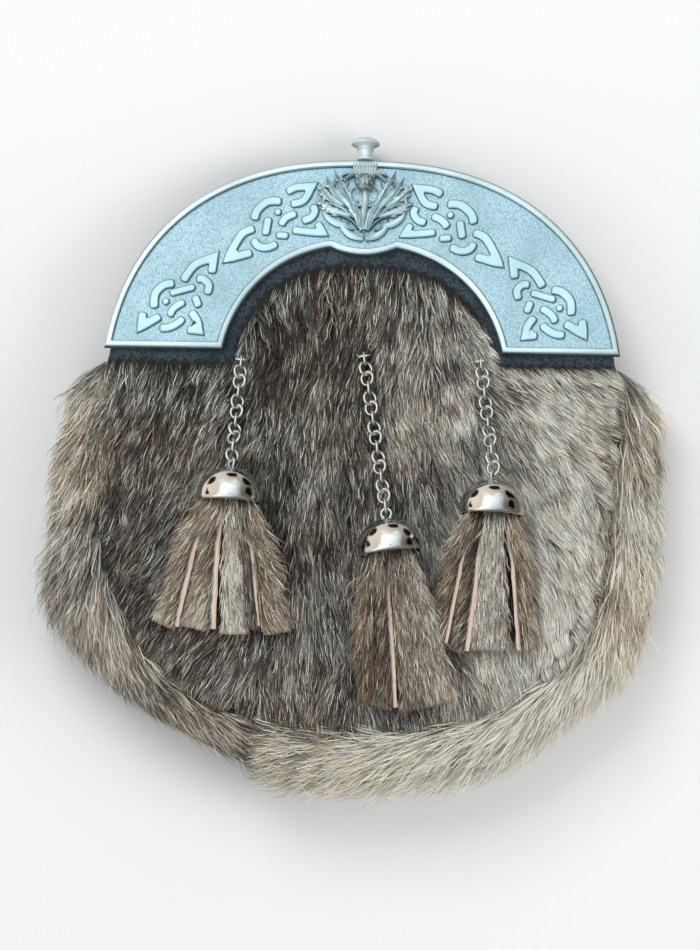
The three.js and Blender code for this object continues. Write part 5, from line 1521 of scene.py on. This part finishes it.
def makeTassel(side):
    hanging = hangings[side]
    rng = np.random.default_rng(hanging["stripSeed"])
    bm = bmesh.new()
    tops = []
    for low, cuts in ((False, strip["cuts"][side]), (True, strip["cuts"]["low"])):
        for index, cut in enumerate(cuts):
            done = set(bm.faces)
            bare = strip["bare"][2] if (side, index) == strip["bare"][:2] and not low else 1.0
            frames = stripFrames(hanging, cut, low, rng.uniform(-1, 1) * strip["bow"])
            spots, run, sideways, half, normal = frames
            sink = normal * (strip["thick"] * rng.uniform(*strip["uneven"], len(spots)))[:, None]
            wide = sideways * half[:, None]
            loft(bm, [[s + w, s - w, s - w - k, s + w - k] for s, w, k in zip(spots, wide, sink)])
            finish = bareHide if bare < 1 else hideSuede if low else cutEdge
            finish = strip["finishes"].index(finish)
            for face in set(bm.faces) - done:
                face.material_index = finish
            tops.append((low, cut, bare, frames))
    bmesh.ops.recalc_face_normals(bm, faces=bm.faces)
    finishPiece("strips_" + side, bm, strip["finishes"], ("tassel_" + side,))
    growTassel(side, tops)


def between(values, place):
    # rows of values at places that fall between them
    return np.stack([np.interp(place, np.arange(len(values)), column) for column in values.T], axis=1)


def growTassel(side, tops):
    hanging = hangings[side]
    rng = np.random.default_rng(hanging["hairSeed"])
    parts = []
    for low, (left, right, roll, tone, warm, reach), bare, (spots, run, sideways, half, normal) in tops:
        layer = stripHair["lowShare"] if low else 1 - stripHair["lowShare"]
        count = int(stripHair["count"] * ((right - left) / 2) * layer)
        at = rng.random(count) ** stripHair["rootCurve"] * stripHair["rootEnd"]
        odds = (bare,) * stripHair["bareOdds"] + (1.0,)  # a few hairs are left past the bare end
        at = np.where(at > bare, at * rng.choice(odds, count), at)
        place = at * (len(spots) - 1)
        across = rng.uniform(-stripHair["across"], stripHair["across"], count)
        edge = np.sign(roll) * (abs(roll) > strip["edgeShows"])
        if edge:
            across = across * (1 + stripHair["bareEdge"]) / 2 - edge * (1 - stripHair["bareEdge"]) / 2
        halves = np.interp(place, np.arange(len(spots)), half)
        sideHere, normalHere = between(sideways, place), between(normal, place)
        root = between(spots, place) + sideHere * (across * halves)[:, None]
        lean = hanging["flare"] * (left + right) / 2 - stripHair["edgeLean"] * edge
        lean = lean + rng.normal(0, stripHair["stripLean"])
        slant = np.radians(lean + rng.normal(0, stripHair["strandLean"], count))
        lie = unit(between(run, place) * np.cos(slant)[:, None] + sideHere * np.sin(slant)[:, None])
        toEnd = np.linalg.norm(spots[-1] - spots[0]) * (1 - at) + stripHair["past"]
        length = np.minimum(rng.uniform(*stripHair["length"], count), toEnd / np.cos(slant))
        lift = rng.uniform(*stripHair["lift"], count)
        lift = lift * np.clip(length / stripHair["fullLift"], stripHair["leastLift"], 1)
        lift = lift * mix(stripHair["mouthLift"], 1.0, ease(at, *stripHair["mouthReach"]))
        paths = root[:, None] + lie[:, None] * (length[:, None] * hair["stations"])[..., None]
        paths = paths + normalHere[:, None] * (lift[:, None] * stripHair["rise"])[..., None]
        tone = tone + mottle(0.24, root[:, 0], root[:, 1] * 0.4, 3.5)
        tone = tone + rng.normal(0, stripHair["spread"], count)
        parts.append((paths, normalHere, toneOf(tone, rng.random(count) < warm)))
    paths, facing, tones = (np.concatenate(item) for item in zip(*parts))
    widths = rng.uniform(*stripHair["width"], len(paths))
    makeHair("tassel_hair_" + side, paths, facing, widths, tones, (), stripHair["ribbonSeed"])


for side in hangings:
    makeTassel(side)
print("tassels made")
